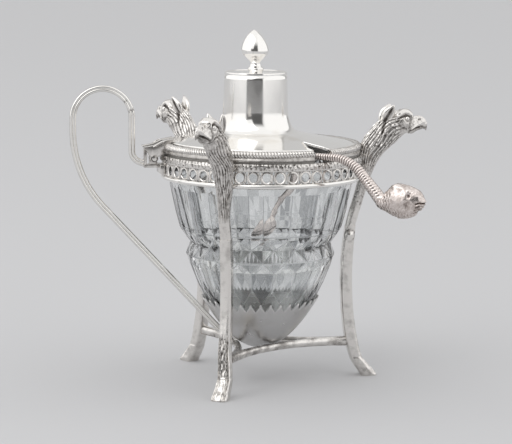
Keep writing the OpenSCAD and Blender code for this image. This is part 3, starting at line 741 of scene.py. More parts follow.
# %% [markdown]
# The lid is raised sheet: a nearly flat flange, a flare and a tower. The tower stands a little
# nearer the hinge than the pot's axis, so the flange is spun about the tower and its outer rings
# are then stretched out to the round rim. The spoon notch is cut with four bisecting planes, and
# a thin wire is soldered round its edge.

# %% Lid: measures
TOWER_X = -2.6
RIM_IN, LID_R, LID_Z, LID_TOP, LID_WALL = 38.6, 41.1, 96.2, 99.9, 0.8
FLANGE_Z, FLANGE_H, FLARE_R, FLARE_H = 99.5, 4.3, 19.0, 9.0
FLARE_Z, WALL_Z = FLANGE_Z + FLANGE_H, FLANGE_Z + FLANGE_H + FLARE_H
TOWER_R, TOWER_TOP_R, TOWER_Z, CAP_H = 13.5, 12.9, 128.8, 0.9
LID_STEPS = 240
NOTCH_AZ, NOTCH_W, NOTCH_TIP, NOTCH_SHOULDER = -63.0, 8.6, 27.0, 36.0


def flange_height(r):
    """Height of the lid's sheet at a distance from the tower's axis, outside the flare."""
    return FLANGE_Z + FLANGE_H * clamp((LID_R - r) / (LID_R - FLARE_R)) ** 1.15


def rim_reach(a):
    """Distance from the tower's axis to the round rim, in direction a."""
    return -TOWER_X * cos(a) + sqrt(RIM_IN ** 2 - (TOWER_X * sin(a)) ** 2)


def notch_frame():
    """Unit vectors along the notch, outward, and across it."""
    a = radians(NOTCH_AZ)
    return Vector((cos(a), sin(a), 0)), Vector((-sin(a), cos(a), 0))


def notch_half_width(s):
    """Half width of the notch at a distance from the axis."""
    return NOTCH_W / 2 * clamp((s - NOTCH_TIP) / (NOTCH_SHOULDER - NOTCH_TIP))


print("notch, mm wide:", NOTCH_W)

# %% Lid: the sheet
def cut_notch(bm):
    """Bisects the faces near the notch along its four edges and deletes those inside."""
    out, across = notch_frame()
    slope = NOTCH_W / 2 / (NOTCH_SHOULDER - NOTCH_TIP)

    def spot(f):
        c = f.calc_center_median()
        return c.dot(out), abs(c.dot(across))
    for side in (-1, 1):
        point_out = (out * NOTCH_TIP, across * side - out * slope)
        straight = (across * side * NOTCH_W / 2, across * side)
        for point, normal in (point_out, straight):
            near = [f for f in bm.faces if spot(f)[0] > NOTCH_TIP - 4 and spot(f)[1] < NOTCH_W]
            geom = near + list({e for f in near for e in f.edges}) + list({v for f in near for v in f.verts})
            bmesh.ops.bisect_plane(bm, geom=geom, plane_co=point, plane_no=normal, dist=1e-5)
    inside = [f for f in bm.faces if spot(f)[0] > NOTCH_TIP and spot(f)[1] < notch_half_width(spot(f)[0])]
    bmesh.ops.delete(bm, geom=inside, context="FACES")


def lid_sheet():
    flange = [(FLARE_R + (LID_R - FLARE_R) * (1 - k / 12), 0) for k in range(12)]
    flare = [(FLARE_R - (FLARE_R - TOWER_R) * cos(u), FLARE_Z + FLARE_H * (1 - sin(u)))
             for u in [pi / 2 * (1 - k / 12) for k in range(13)]]
    wall = [(TOWER_R + (TOWER_TOP_R - TOWER_R) * k / 8, WALL_Z + (TOWER_Z - CAP_H - WALL_Z) * k / 8)
            for k in range(1, 9)]
    bm = revolve(flange + flare + wall, LID_STEPS, closed=False, x=TOWER_X)
    for v in bm.verts:
        dx, dy = v.co.x - TOWER_X, v.co.y
        r, a = hypot(dx, dy), atan2(dy, dx)
        if r > FLARE_R - 0.01:
            reach = FLARE_R + (r - FLARE_R) * (rim_reach(a) - FLARE_R) / (LID_R - FLARE_R)
            v.co = (TOWER_X + reach * cos(a), reach * sin(a), flange_height(reach))
    cut_notch(bm)
    deliver("lid_sheet", bm, SHEET, "lid", "lid_dome", wall=LID_WALL)


lid_sheet()

# %% The wire round the notch
NOTCH_WIRE_R, WIRE_LIFT = 0.38, 0.15


def notch_wire():
    out, across = notch_frame()
    row = [NOTCH_TIP + 0.2 + (RIM_IN + 0.6 - NOTCH_TIP) * k / 16 for k in range(17)]
    edge = []
    for side, distances in ((-1, row[::-1]), (1, row)):
        for s in distances:
            p = out * s + across * side * notch_half_width(s)
            edge.append((p.x, p.y, flange_height(hypot(p.x - TOWER_X, p.y)) + WIRE_LIFT))
    deliver("notch_wire", tube(edge, NOTCH_WIRE_R, 8, side=(0, 0, 1)), SHEET, "lid")


notch_wire()

# %% [markdown]
# The lid's rim is a stamped rope: short slanted beads between two plain lines. It is spun from one
# side of the notch to the other, so the notch stays open.

# %% Lid rim
BEADS, BEAD_STEPS, BEAD_H, BEAD_SLANT = 210, 5, 0.5, 0.8
# The rim hangs down over the seat ring, and leaves a narrow shadow above the band
RIM_LOW = 95.4


def rope_rim():
    half = degrees(asin(NOTCH_W / 2 / LID_R))
    mid = (RIM_LOW + LID_TOP) / 2
    line = arc(LID_R - 0.75, RIM_LOW + 0.75, 0.68, -75, 60, 5)
    rope = arc(LID_R - 1.35, mid + 0.65, 1.25, -50, 88, 10)
    top = [(RIM_IN + 0.5, LID_TOP - 0.15), (RIM_IN, LID_TOP - 0.3)]
    profile = [(RIM_IN, RIM_LOW), (LID_R - 0.55, RIM_LOW)] + line + rope + top
    bm = revolve(profile, BEADS * BEAD_STEPS, start=NOTCH_AZ + half, sweep_angle=360 - 2 * half)
    bmesh.ops.holes_fill(bm, edges=[e for e in bm.edges if e.is_boundary])

    def bead(v):
        if v.co.z < mid - 0.3 or from_axis(v) < LID_R - 2.0:
            return 0, 0.45 if v.co.z < mid else 0.85
        share = (v.co.z - mid) / 1.8
        phase = (turns(v) * BEADS + BEAD_SLANT * share) % 1
        lift = sin(pi * phase) ** 0.7
        return BEAD_H * (lift - 0.85), 0.02 + 0.96 * lift
    raise_relief(bm, bead)
    deliver("rope_rim", bm, CAST, "lid", "lid_rim_moulding")


rope_rim()

# %% The cap of the tower and the bud
FINIAL_TOP = 146.0
# The bud stands a little crooked, to the left of the tower
BUD_LEAN, BUD_STEPS = 0.05, 64
# Rows up the neck and the body of the bud: radius, and height over the tower
BUD_NECK = [
    (2.8, -0.5), (2.9, 0.1), (3.25, 0.7), (3.25, 1.3), (2.9, 1.8), (2.4, 2.4), (2.1, 3.2), (2.2, 3.9),
    (2.7, 4.6)]
BUD_BODY = [
    (2.7, 4.6), (3.8, 5.6), (4.9, 6.7), (5.5, 7.7), (5.62, 8.7), (5.35, 10.3), (4.65, 12.2), (3.65, 14.0),
    (2.5, 15.5), (1.3, 16.6), (0.0, FINIAL_TOP - TOWER_Z)]


def tower_cap():
    low, sunk = TOWER_Z - CAP_H, TOWER_Z - 0.5
    lip = arc(TOWER_TOP_R - 0.3, TOWER_Z - 0.3, 0.3, 110, 0, 6)
    top = [(0, sunk), (1.3, sunk), (11.8, sunk), (12.2, TOWER_Z - 0.35)]
    bm = revolve(top + lip + [(TOWER_TOP_R, low), (0, low)], ROUND_STEPS, closed=False, x=TOWER_X)
    deliver("tower_top", bm, SHEET, "lid", "tower_cap")


def bud():
    rows = spline(BUD_NECK, 40) + spline(BUD_BODY, 40)[1:]
    profile = [(max(r, 0), TOWER_Z + z) for r, z in rows] + [(0, TOWER_Z - 0.5)]
    bm = revolve(profile, BUD_STEPS, closed=False, x=TOWER_X)
    for v in bm.verts:
        v.co -= right * BUD_LEAN * max(v.co.z - TOWER_Z, 0)
    deliver("bud_finial", bm, SHEET, "lid", "finial")


tower_cap()
bud()

# %% [markdown]
# The handle is drawn wire of two reeds. Its route lies in the plane of the hinge: a foot on the
# stretcher, a straight run out, a wide sweep up, and a small loop that comes down to the hook on
# the hinge. Each reed is a tube beside that route, so the groove between them is real.

# %% Handle
HINGE_X, HINGE_Z = 45.3, 93.7
LOOP_X, LOOP_R, LOOP_Z = 78.2, 12.1, 110.0
SWEEP_R, SWEEP_Z = 46.0, 105.0
HOOK_R, HOOK_Z, HOOK_TURN, HOOK_TIP = 4.8, 96.4, 72.0, 2.6
SCARF_TURN, SCARF_HALF, SCARF_SOFT = 25.0, 2.2, 0.45
REED_R, REED_OFF, REED_ROUND = 0.76, 0.58, 14
WIRE_FOOT = Vector((11.6, 15.4))


def scarf():
    """Where the two wires of the handle are joined, and their direction there."""
    a = radians(180 - SCARF_TURN)
    spot = Vector((-(LOOP_X - LOOP_R + LOOP_R * cos(a)), 0, LOOP_Z + LOOP_R * sin(a)))
    return spot, Vector((sin(a), 0, cos(a)))


def reeds(name, route, node):
    """Two tubes side by side along a route of (distance out, height) points."""
    bm = bmesh.new()
    for side in (-1, 1):
        row = []
        for i, (x, z) in enumerate(route):
            off = heading_at(route, i).normalized() * side * REED_OFF
            row.append((off.y - x, 0, z + off.x))
        merge(bm, tube(row, REED_R, REED_ROUND))
    spot, heading = scarf()

    # Painted highlight: each reed is bright on the faces turned to either side and dark towards the groove
    # and its outer edge. The scarf joint is sunk and darkened as a real joint.
    def painted_sheen_and_joint(v):
        from_spot = v.co - spot
        notch = 0
        if from_spot.length < 2 * SCARF_HALF:
            notch = max(0, 1 - abs(abs(from_spot.dot(heading)) - SCARF_HALF) / SCARF_SOFT)
        return -0.2 * notch, max(0, 0.22 + 0.75 * (abs(v.co.y) / REED_R) ** 0.8 - 0.8 * notch)
    raise_relief(bm, painted_sheen_and_joint)
    deliver(name, bm, REED, "frame", node)


def handle():
    centre = Vector((LOOP_X - SWEEP_R, SWEEP_Z))
    to_foot = WIRE_FOOT - centre
    sweep_turn = degrees(atan2(to_foot.y, to_foot.x)) + degrees(acos(SWEEP_R / to_foot.length))
    wide = arc(*centre, SWEEP_R, sweep_turn, 0, 30)
    run = [tuple(WIRE_FOOT.lerp(Vector(wide[0]), k / 12)) for k in range(12)]
    loop_c = (LOOP_X - LOOP_R, LOOP_Z)
    loop = arc(*loop_c, LOOP_R, 0, 180 - SCARF_TURN, 40)
    reeds("handle_wire", run + wide + [(LOOP_X, (SWEEP_Z + LOOP_Z) / 2)] + loop, "handle_loop")

    loop_end = arc(*loop_c, LOOP_R, 180 - SCARF_TURN, 180, 10)
    hook_c = (LOOP_X - 2 * LOOP_R - HOOK_R, HOOK_Z)
    drop = [(hook_c[0] + HOOK_R, LOOP_Z - (LOOP_Z - HOOK_Z) * k / 8) for k in range(1, 8)]
    hook = arc(*hook_c, HOOK_R, 0, -HOOK_TURN, 16)
    a = radians(HOOK_TURN)
    tip = (hook[-1][0] - HOOK_TIP * sin(a), hook[-1][1] - HOOK_TIP * cos(a))
    reeds("handle_hook_wire", loop_end + drop + hook + [tip], "handle_hook")


handle()

# %% [markdown]
# The legs are castings. Below, a bowed bar runs down to a tuft of fur and a hoof. Above, the bar
# widens into a neck that leans out over the band and ends in an eared beast head with a beak.
# One leg is swept through rows of measured depths and widths, its fur is raised by a pattern of
# overlapping locks, and the three legs are turned copies of it.

# %% Legs: fur
LEG_TURNS = {"right": 0, "rear": 120, "front": 240}
# The front leg was bent a little to the left between hoof and band when it was soldered
FRONT_BEND = 1.2


def locks(u, v, length, count):
    """Height from 0 to 1 of overlapping strands: u runs along the hair in mm, v round it from 0 to 1."""
    sway = v * count + 0.35 * sin(2 * pi * u / (2.6 * length) + 7 * v)
    column = floor(sway)
    x = sway - column - 0.5
    t = (u / length + noise.noise((column * 1.7, 0.3, 0.1)) + 0.37 * column) % 1
    width = 0.26 + 0.24 * sin(pi * t)
    return max(0, 1 - (x / width) ** 2) * (1 - 0.5 * t)


def bend(bm):
    """Moves a leg sideways between the hoof and the band."""
    for v in bm.verts:
        v.co -= level * FRONT_BEND * fade(v.co.z, 5, 20) * (1 - fade(v.co.z, 70, 86))


def set_legs(one, name, node, changes, weld=True):
    """Delivers three turned copies of a part, after the change that one of them may have."""
    for side, angle in LEG_TURNS.items():
        bm = one.copy()
        if side in changes:
            changes[side](bm)
        move(bm, turn(angle))
        if side == "front":
            bend(bm)
        deliver(f"leg_{side}_{name}", bm, CAST, "frame", f"leg_{side}_{node}", weld=weld)


print("legs:", ", ".join(LEG_TURNS))

# %% Legs: the lower part with its hoof
LAP_Z = 64.0
# Rows from the lap down: inner and outer distance from the axis, height, half width
SHIN_ROWS = [
    (36.0, 40.3, LAP_Z, 2.35), (34.8, 39.5, 54, 2.35), (34.3, 39.1, 44, 2.35), (34.5, 39.4, 34, 2.35),
    (35.2, 40.2, 25, 2.35), (36.0, 41.1, 19, 2.45), (37.2, 42.3, 13, 2.6), (38.2, 43.2, 9.6, 2.7),
    (38.6, 43.45, 8.5, 2.7), (38.8, 43.65, 8.0, 2.75), (39.0, 44.15, 7.4, 2.85), (39.4, 45.0, 6.5, 2.9),
    (40.0, 46.0, 5.4, 2.95), (41.3, 47.8, 3.4, 3.1), (42.7, 49.5, 1.5, 3.35), (43.3, 50.15, 0.5, 3.4),
    (43.5, 50.05, 0.0, 3.3)]
SHIN_STEPS, SHIN_ROUND = 190, 120
# The tuft of fur thins out between two heights, and the hoof starts under a third
TUFT_FULL, TUFT_TOP, HOOF_TOP = 22.5, 26.5, 7.9
LOCK_LEN, LOCKS_ROUND = 2.9, 40
KNOT, KNOT_R, KNOT_H = Vector((37.6, -2.4, 60.2)), 2.3, 0.8


def shin():
    matrices = []
    for inner, outer, z, half in spline(SHIN_ROWS, SHIN_STEPS):
        m = Matrix.Diagonal(((outer - inner) / 2, half, 1, 1))
        m.translation = ((inner + outer) / 2, 0, max(z, 0))
        matrices.append(m)
    bm = sweep(matrices, SHIN_ROUND, power=0.45)
    around = bm.verts.layers.float["around"]

    def hair(v):
        z = v.co.z
        outward = fade(cos(2 * pi * v[around]), 0.55, 0.8)
        tuft = outward * (1 - fade(z, TUFT_FULL, TUFT_TOP))
        hoof = 1 - fade(z, 7.2, HOOF_TOP)
        lock = locks(26 - z, v[around], LOCK_LEN, LOCKS_ROUND)
        step = 0.2 * fade(z, 7.6, 8.0) * (1 - fade(z, 8.0, 10.5)) * outward
        worn = grain(v, 0.5)
        lift = tuft * (0.34 * lock - 0.2) + step + 0.03 * worn
        tone = 0.76 - tuft * (0.62 - 0.95 * lock - 0.1 * hoof) + 0.22 * grain(v, 0.25)
        return (lift if z > 0.3 else 0), max(0, tone)
    return raise_relief(bm, hair)


def solder_knot(bm):
    """The lump of solder that shows on the right leg, a little below the lap."""
    relief = bm.verts.layers.float["relief"]
    bm.normal_update()
    for v in bm.verts:
        ring = max(0, 1 - abs((v.co - KNOT).length - KNOT_R) / 0.6)
        v.co += v.normal * KNOT_H * hump(v.co, KNOT, KNOT_R)
        v[relief] -= 0.6 * ring


set_legs(shin(), "shin", "lower", {"right": solder_knot})

# %% Legs: measures of the neck and head
# Rows from the lap up: the back of the neck and the throat, each (distance out, height), and half the width
NECK_ROWS = [
    (36.0, LAP_Z, 40.3, LAP_Z, 2.35), (37.2, 69.0, 41.6, 68.7, 2.35), (38.9, 74.5, 43.1, 74.2, 2.4),
    (40.2, 79.0, 44.4, 78.6, 2.75), (41.3, 84.0, 45.6, 83.2, 3.3), (41.6, 88.6, 47.3, 87.0, 3.7),
    (41.8, 93.0, 49.0, 90.6, 4.0), (42.1, 97.2, 51.3, 93.9, 4.15), (43.6, 100.6, 53.9, 96.4, 4.1),
    (45.8, 103.6, 56.4, 98.5, 3.95), (48.3, 106.4, 58.6, 100.4, 3.8), (50.8, 108.8, 60.3, 101.9, 3.75),
    (54.0, 110.8, 61.6, 102.7, 3.8), (57.4, 112.0, 62.7, 102.5, 3.75), (60.6, 112.7, 63.9, 102.4, 3.4),
    (63.2, 111.6, 65.0, 102.9, 2.5), (64.5, 109.9, 66.2, 103.6, 1.75), (66.4, 110.0, 67.2, 104.0, 1.35),
    (68.5, 109.6, 68.3, 104.3, 0.95), (69.9, 108.2, 69.2, 104.4, 0.65), (70.55, 106.9, 69.8, 103.9, 0.5),
    (70.6, 105.2, 70.2, 103.6, 0.2)]
NECK_STEPS, NECK_ROUND, NECK_LEN = 240, 96, 68
MANE_LEN, MANE_ROUND = 5.2, 24
# Distances out where the face and the beak start
FACE_FROM, BEAK_FROM = 49, 64
NECK_TOP = Vector((47.5, 0, 99.0))
# The front head turns about the top of its neck. The turn grows as distance out plus height does
FRONT_LIFT, FRONT_LOOK, LIFT_FROM, LIFT_FULL = 8.0, 7.0, 139, 158
EYE, EYE_R, EYE_HOLLOW_R = (61.3, 2.95, 108.9), 1.05, 1.9
NOSTRIL, NOSTRIL_R = (67.0, 1.3, 108.4), 0.8
EAR, EAR_SIZE, EAR_BACK, EAR_APART = (53.3, 2.5, 110.8), (2.6, 1.15, 4.6), 29, 10
# Lines of the face: points (distance out, height), width, and how far raised or, below 0, dented
LINES_OVER_THE_MIDDLE = [
    ([(56.4, 109.2), (57.7, 110.6), (59.8, 111.8), (61.9, 111.9), (63.1, 110.8), (63.3, 109.5)],
     1.0, 1.0),  # brow
    ([(63.9, 109.9), (62.9, 107.8), (62.2, 105.4), (62.3, 103.4)], 0.7, -0.55)]  # edge of the cheek
LINES_OF_THE_SIDES = [
    ([(63.4, 104.4), (65.8, 106.0), (68.7, 107.3)], 0.8, 0.6),  # ridge of the beak
    ([(57.3, 108.4), (58.7, 109.6), (60.9, 110.5), (62.4, 109.7)], 0.75, -1.0),  # crease under the brow
    ([(63.0, 103.8), (65.0, 104.8), (68.8, 105.5)], 0.55, -1.0),  # mouth
    ([(52.6, 109.4), (51.0, 105.8), (50.6, 103.0)], 0.8, -0.9),  # fold below the ear
    ([(56.6, 107.6), (58.2, 105.6), (60.6, 104.6)], 0.7, -0.5)]  # fold of the cheek
print("lines of the face:", len(LINES_OVER_THE_MIDDLE + LINES_OF_THE_SIDES))

# %% Legs: face, ears and eyes
def face_relief(x, y, z):
    """How far the lines of the face raise and dent a place on it."""
    raised = dented = 0
    for rows, share in ((LINES_OVER_THE_MIDDLE, 1), (LINES_OF_THE_SIDES, fade(abs(y), 0.3, 1.0))):
        for row, width, amount in rows:
            height = amount * share * near_line(x, z, row, width)
            raised += max(height, 0)
            dented += max(-height, 0)
    mirrored = Vector((x, abs(y), z))
    dented += 1.1 * hump(mirrored, EYE, EYE_HOLLOW_R) + 0.8 * hump(mirrored, NOSTRIL, NOSTRIL_R)
    return raised, dented


def ear(s):
    """Upright pointed ear, folded along its length so that a dark slit shows on its outer face."""
    bm = bmesh.new()
    relief = bm.verts.layers.float.new("relief")
    bmesh.ops.create_uvsphere(bm, u_segments=32, v_segments=20, radius=1)
    for v in bm.verts:
        x, y, z = v.co
        slit = max(0, 1 - (x / 0.42) ** 2) * fade(z, -1.0, -0.7) * (1 - fade(z, 0.55, 0.9))
        v[relief] = 0.8
        if y * s > 0.05:
            v.co.y -= 0.75 * s * slit * abs(y)
            v[relief] = 0.85 - 0.85 * slit
        v.co.x *= 1 - 0.55 * max(z, 0) ** 1.6
    lean = Matrix.Rotation(radians(EAR_BACK), 4, "Y") @ Matrix.Rotation(radians(-EAR_APART * s), 4, "X")
    place = Matrix.Translation((EAR[0], EAR[1] * s, EAR[2]))
    move(bm, place @ lean @ Matrix.Diagonal((*EAR_SIZE, 1)))
    return bm


def eye_ball(s):
    bm = bmesh.new()
    place = Matrix.Translation((EYE[0], EYE[1] * s, EYE[2]))
    bmesh.ops.create_uvsphere(bm, u_segments=16, v_segments=10, radius=EYE_R, matrix=place)
    return raise_relief(bm, lambda v: (0, 0.85))


print("face ready")

# %% Legs: the neck and head
def neck():
    matrices = []
    for bx, bz, tx, tz, half in spline(NECK_ROWS, NECK_STEPS):
        nape, throat = Vector((bx, 0, bz)), Vector((tx, 0, tz))
        depth = (throat - nape) / 2
        onward = depth.cross(Vector((0, 1, 0))).normalized()
        m = Matrix((depth, Vector((0, half, 0)), onward)).transposed().to_4x4()
        m.translation = (nape + throat) / 2
        matrices.append(m)
    bm = sweep(matrices, NECK_ROUND, power=0.86)
    around, along = bm.verts.layers.float["around"], bm.verts.layers.float["along"]

    def carve(v):
        x, y, z = v.co
        outer_side = fade(cos(2 * pi * v[around]), 0.2, 0.6)
        fur = fade(z, 70, 74) * (1 - fade(x, 56.5, 60)) * max(fade(z, 86, 92), outer_side)
        lock = locks(NECK_LEN * v[along], v[around], MANE_LEN, MANE_ROUND)
        fine = grain(v, 1.5)
        raised, dented = face_relief(x, y, z) if x > FACE_FROM else (0, 0)
        beak = fade(x, BEAK_FROM, BEAK_FROM + 1)
        # Painted shade: the lower edge of the beak, its underside, is darkened.
        under = beak * (1 - fade(z - 104.4 - 0.13 * (x - BEAK_FROM), 0, 0.6))
        lift = fur * (0.52 * lock - 0.24) + 0.7 * raised - 0.5 * dented + 0.09 * fine * fade(x, 55, 58)
        tone = 0.80 - 0.2 * fade(z, 69, 75) - fur * (0.44 - 0.85 * lock) + 0.4 * raised - 0.6 * dented
        tone += 0.28 * fine + 0.15 * beak - 0.4 * under
        return lift, clamp(tone)
    raise_relief(bm, carve)
    for s in (-1, 1):
        merge(bm, ear(s))
        merge(bm, eye_ball(s))
    return bm


def lift_head(bm):
    """The front head was set a little higher than the others, and looks a little to the left."""
    for v in bm.verts:
        share = fade(v.co.x + v.co.z, LIFT_FROM, LIFT_FULL)
        look = Matrix.Rotation(radians(-FRONT_LOOK * share), 3, "Z")
        lift = Matrix.Rotation(radians(-FRONT_LIFT * share), 3, "Y")
        v.co = NECK_TOP + look @ lift @ (v.co - NECK_TOP)


set_legs(neck(), "head", "upper", {"front": lift_head}, weld=False)

# %% [markdown]
# The stretcher ties the three legs together under the cup. Each bar bows inward, so each one is a
# tube along an arc from leg to leg.

# %% Stretcher
BAR_MID, BAR_Z, BAR_HALF_W, BAR_HALF_H, LEG_MID = 10.0, 14.8, 1.35, 1.55, 37.0


def stretcher():
    end_x, end_y = LEG_MID * cos(pi / 3), LEG_MID * sin(pi / 3)
    dip = end_x - BAR_MID
    bow = (end_y ** 2 + dip ** 2) / (2 * dip)
    swing = asin(end_y / bow)
    bm = bmesh.new()
    for angle in LEG_TURNS.values():
        rows = []
        for k in range(61):
            a = pi + swing * (k / 30 - 1)
            place = Vector((BAR_MID + bow + bow * cos(a), bow * sin(a), BAR_Z))
            flare = 1 + 0.3 * abs(k / 30 - 1) ** 2
            section = frame_at(place, (-sin(a), cos(a), 0), (0, 0, 1), BAR_HALF_H * flare, BAR_HALF_W * flare)
            rows.append(turn(angle + 60) @ section)
        merge(bm, sweep(rows, 18, power=0.75))
    raise_relief(bm, lambda v: (0.08 * grain(v, 0.4), 0.58 + 0.5 * grain(v, 0.3)))
    deliver("stretcher_bars", bm, CAST, "frame", "stretcher")


stretcher()

# %% [markdown]
# The hinge has a fixed knuckle on a bracket behind the band and two knuckles on the lid's leaf.
# The leaf's arms are an outline, extruded and bevelled. The barrel ends show turned rings.

# %% Hinge: plates and knuckles
HINGE_Y, FIXED_Y, KNUCKLE_R, KNUCKLE_GAP = 5.0, 1.6, 1.6, 0.25
UPPER_OUT = 42.4
PIN_R, PIN_HEAD_R, LEAF_REED_R = 0.7, 1.05, 0.28
# Plates that run into each other keep their faces this far apart: two faces in one place render black
PROUD = 0.08
# The end of a knuckle, with and without its turned ring: radius and depth
RINGED_END = [(share * KNUCKLE_R, deep) for share, deep in (
    (0, 0), (0.62, 0), (0.68, 0.3), (0.84, 0.3), (0.88, 0), (0.95, 0), (1, 0.15))]
PLAIN_END = [(0, 0), (KNUCKLE_R - 0.15, 0), (KNUCKLE_R, 0.15)]


def plate(points, y0, y1, edge):
    """Outline of (distance out, height) points on the handle's side, from y0 to y1, with bevelled edges."""
    bm = bmesh.new()
    face = bm.faces.new([bm.verts.new((-x, y0, z)) for x, z in points])
    made = bmesh.ops.extrude_face_region(bm, geom=[face])["geom"]
    far = [g for g in made if isinstance(g, bmesh.types.BMVert)]
    bmesh.ops.translate(bm, verts=far, vec=(0, y1 - y0, 0))
    face_out(bm)
    bmesh.ops.bevel(
        bm, geom=bm.edges[:], offset=edge, offset_type="OFFSET", affect="EDGES", segments=2, profile=0.5,
        material=-1)
    face_out(bm)
    return bm


def oblong(x0, x1, z0, z1, half, edge):
    """Rectangular plate, as far to one side of the handle's plane as to the other."""
    return plate([(x0, z0), (x1, z0), (x1, z1), (x0, z1)], -half, half, edge)


def lay_on_hinge(bm, y):
    """Lays a turned piece on the hinge's axis."""
    move(bm, Matrix.Translation((-HINGE_X, y, HINGE_Z)) @ Matrix.Rotation(-pi / 2, 4, "X"))


def knuckle(y0, y1, end):
    """Turned barrel on the hinge's axis, with the same profile on its two ends."""
    bm = revolve(end + [(r, y1 - y0 - z) for r, z in end[::-1]], 40, closed=False)
    lay_on_hinge(bm, y0)
    face_out(bm)
    return bm


print("hinge, mm across:", 2 * HINGE_Y)

# %% Hinge: leaf, bracket and pin
def leaf():
    arm = [
        (LID_R - 4.4, LID_TOP + 1.9), (LID_R + 0.2, LID_TOP + 1.1), (HINGE_X, LID_TOP - 0.8),
        (HINGE_X + 4.4, HINGE_Z + 4.7), (HINGE_X + 1.4, HINGE_Z + 0.8), (HINGE_X, HINGE_Z),
        (HINGE_X - 1.5, HINGE_Z + 0.6), (LID_R - 1, LID_Z + 0.3)]
    strap = [
        (LID_R - 4.3, LID_TOP - 0.4), (LID_R - 4.3, LID_TOP + 1.8), (LID_R + 0.2, LID_TOP + 1.0),
        (LID_R + 0.2, LID_TOP - 1)]
    bm = plate(strap, 2 * PROUD - HINGE_Y, HINGE_Y - 2 * PROUD, 0.25)
    for s in (-1, 1):
        y0, y1 = sorted((s * (FIXED_Y + KNUCKLE_GAP), s * HINGE_Y))
        merge(bm, plate(arm, y0 + PROUD, y1 - PROUD, 0.2))
        merge(bm, knuckle(y0, y1, RINGED_END))
        for k in range(3):
            shift, y = 0.55 * k - 0.3, s * (HINGE_Y - 0.05)
            top = (-(LID_R + 0.4 + shift), y, LID_TOP + 0.75)
            foot = (-(HINGE_X - 0.3 + shift), y, LID_TOP - 1.1 - 0.2 * k)
            merge(bm, tube([top, foot], LEAF_REED_R, 8))

    def tarnish(v):
        r = hypot(v.co.x + HINGE_X, v.co.z - HINGE_Z) / KNUCKLE_R
        groove = abs(v.co.y) > HINGE_Y - 0.35 and 0.65 < r < 0.86
        return 0, 0 if groove else 0.7 + 0.3 * grain(v, 0.8)
    raise_relief(bm, tarnish)
    deliver("lid_leaf", bm, CAST, "lid", "lid_hinge_leaf", weld=False)


def bracket():
    foot, post_out = HINGE_Z - 4.1, HINGE_X + 3.9
    base_top = foot + 1.5
    bm = oblong(UPPER_OUT - 1.5, post_out - PROUD, foot, base_top, FIXED_Y, 0.2)
    for part in (
            oblong(post_out - 1.2, post_out, foot + PROUD, HINGE_Z + 3.6, FIXED_Y - PROUD, 0.25),
            oblong(HINGE_X - KNUCKLE_R, HINGE_X + KNUCKLE_R, foot + 2 * PROUD, HINGE_Z,
                   FIXED_Y - 2 * PROUD, 0.15),
            oblong(FRIEZE_R - 1, UPPER_OUT + 0.6, FRIEZE_Z + 0.5, base_top - PROUD, HINGE_Y, 0.25),
            knuckle(-FIXED_Y, FIXED_Y, PLAIN_END)):
        merge(bm, part)
    raise_relief(bm, lambda v: (0, 0.65 + 0.4 * grain(v, 0.8)))
    deliver("hinge_post", bm, CAST, "frame", "hinge_bracket", weld=False)


def pin():
    rows = ((0, 0), (PIN_R, 0), (PIN_HEAD_R, 0.12), (PIN_HEAD_R, 0.35), (PIN_R, 0.4))
    end = [(r, z - HINGE_Y - 0.6) for r, z in rows]
    bm = revolve(end + [(PIN_R, 0)] + [(r, -z) for r, z in end[::-1]], 28, closed=False)
    lay_on_hinge(bm, 0)
    raise_relief(bm, lambda v: (0, 0.85))
    deliver("pivot_pin", bm, CAST, "frame", "hinge_pin")


leaf()
bracket()
pin()

# %% [markdown]
# The spoon leans in the pot, bends over the rim and comes down outside to a beast's head. Its stem
# is ribbed like a neck, with ribs that turn to scales near the head. It lies in one upright plane,
# so the route is drawn as (distance out, height) and then turned to that plane.

# %% Spoon: stem
SPOON_AZ = -35.0
CROSS_R, CROSS_AZ = 41.05, radians(-61.0)
INNER_C, INNER_BEND, INNER_TURN = (-4.2, 92.0), 5.0, 55.0
OUTER_C, OUTER_BEND, OUTER_SLOPE = (2.5, 81.0), 16.0, 49.0
STEM_LEN, OUTER_RUN, STEM_R, STEM_SWELL = 29.0, 12.75, 1.4, 1.2
RIB_PITCH, RIB_H, SCALE_PITCH, SCALES_ROUND, STEM_ROUND = 1.05, 0.34, 1.25, 9, 32
INNER_DIR = (-cos(radians(INNER_TURN)), -sin(radians(INNER_TURN)))
OUTER_DIR = (cos(radians(OUTER_SLOPE)), -sin(radians(OUTER_SLOPE)))
TO_SPOON = Matrix.Translation((CROSS_R * cos(CROSS_AZ), CROSS_R * sin(CROSS_AZ), 0)) @ turn(SPOON_AZ)


def from_point(start, direction, length):
    return start[0] + length * direction[0], start[1] + length * direction[1]


inner_arc = arc(*INNER_C, INNER_BEND, 90 + INNER_TURN, 90, 24)
outer_arc = arc(*OUTER_C, OUTER_BEND, 90, 90 - OUTER_SLOPE, 40)
stem_end = from_point(inner_arc[0], INNER_DIR, STEM_LEN)
head_start = from_point(outer_arc[-1], OUTER_DIR, OUTER_RUN)


def even_row(points, step):
    """Points spaced evenly along a broken line."""
    row, left = [points[0]], step
    for a, b in zip(points, points[1:]):
        a, b = Vector(a), Vector(b)
        gone = 0
        while (b - a).length - gone >= left:
            gone += left
            row.append(tuple(a + (b - a).normalized() * gone))
            left = step
        left -= (b - a).length - gone
    return row + [points[-1]]


def scales(u, around, pitch, count):
    """Height from 0 to 1 of rows of scales, or of plain ribs where the count in a row is 0."""
    return abs(sin(pi * u / pitch + 0.8 * sin(count * 2 * pi * around))) ** 0.8


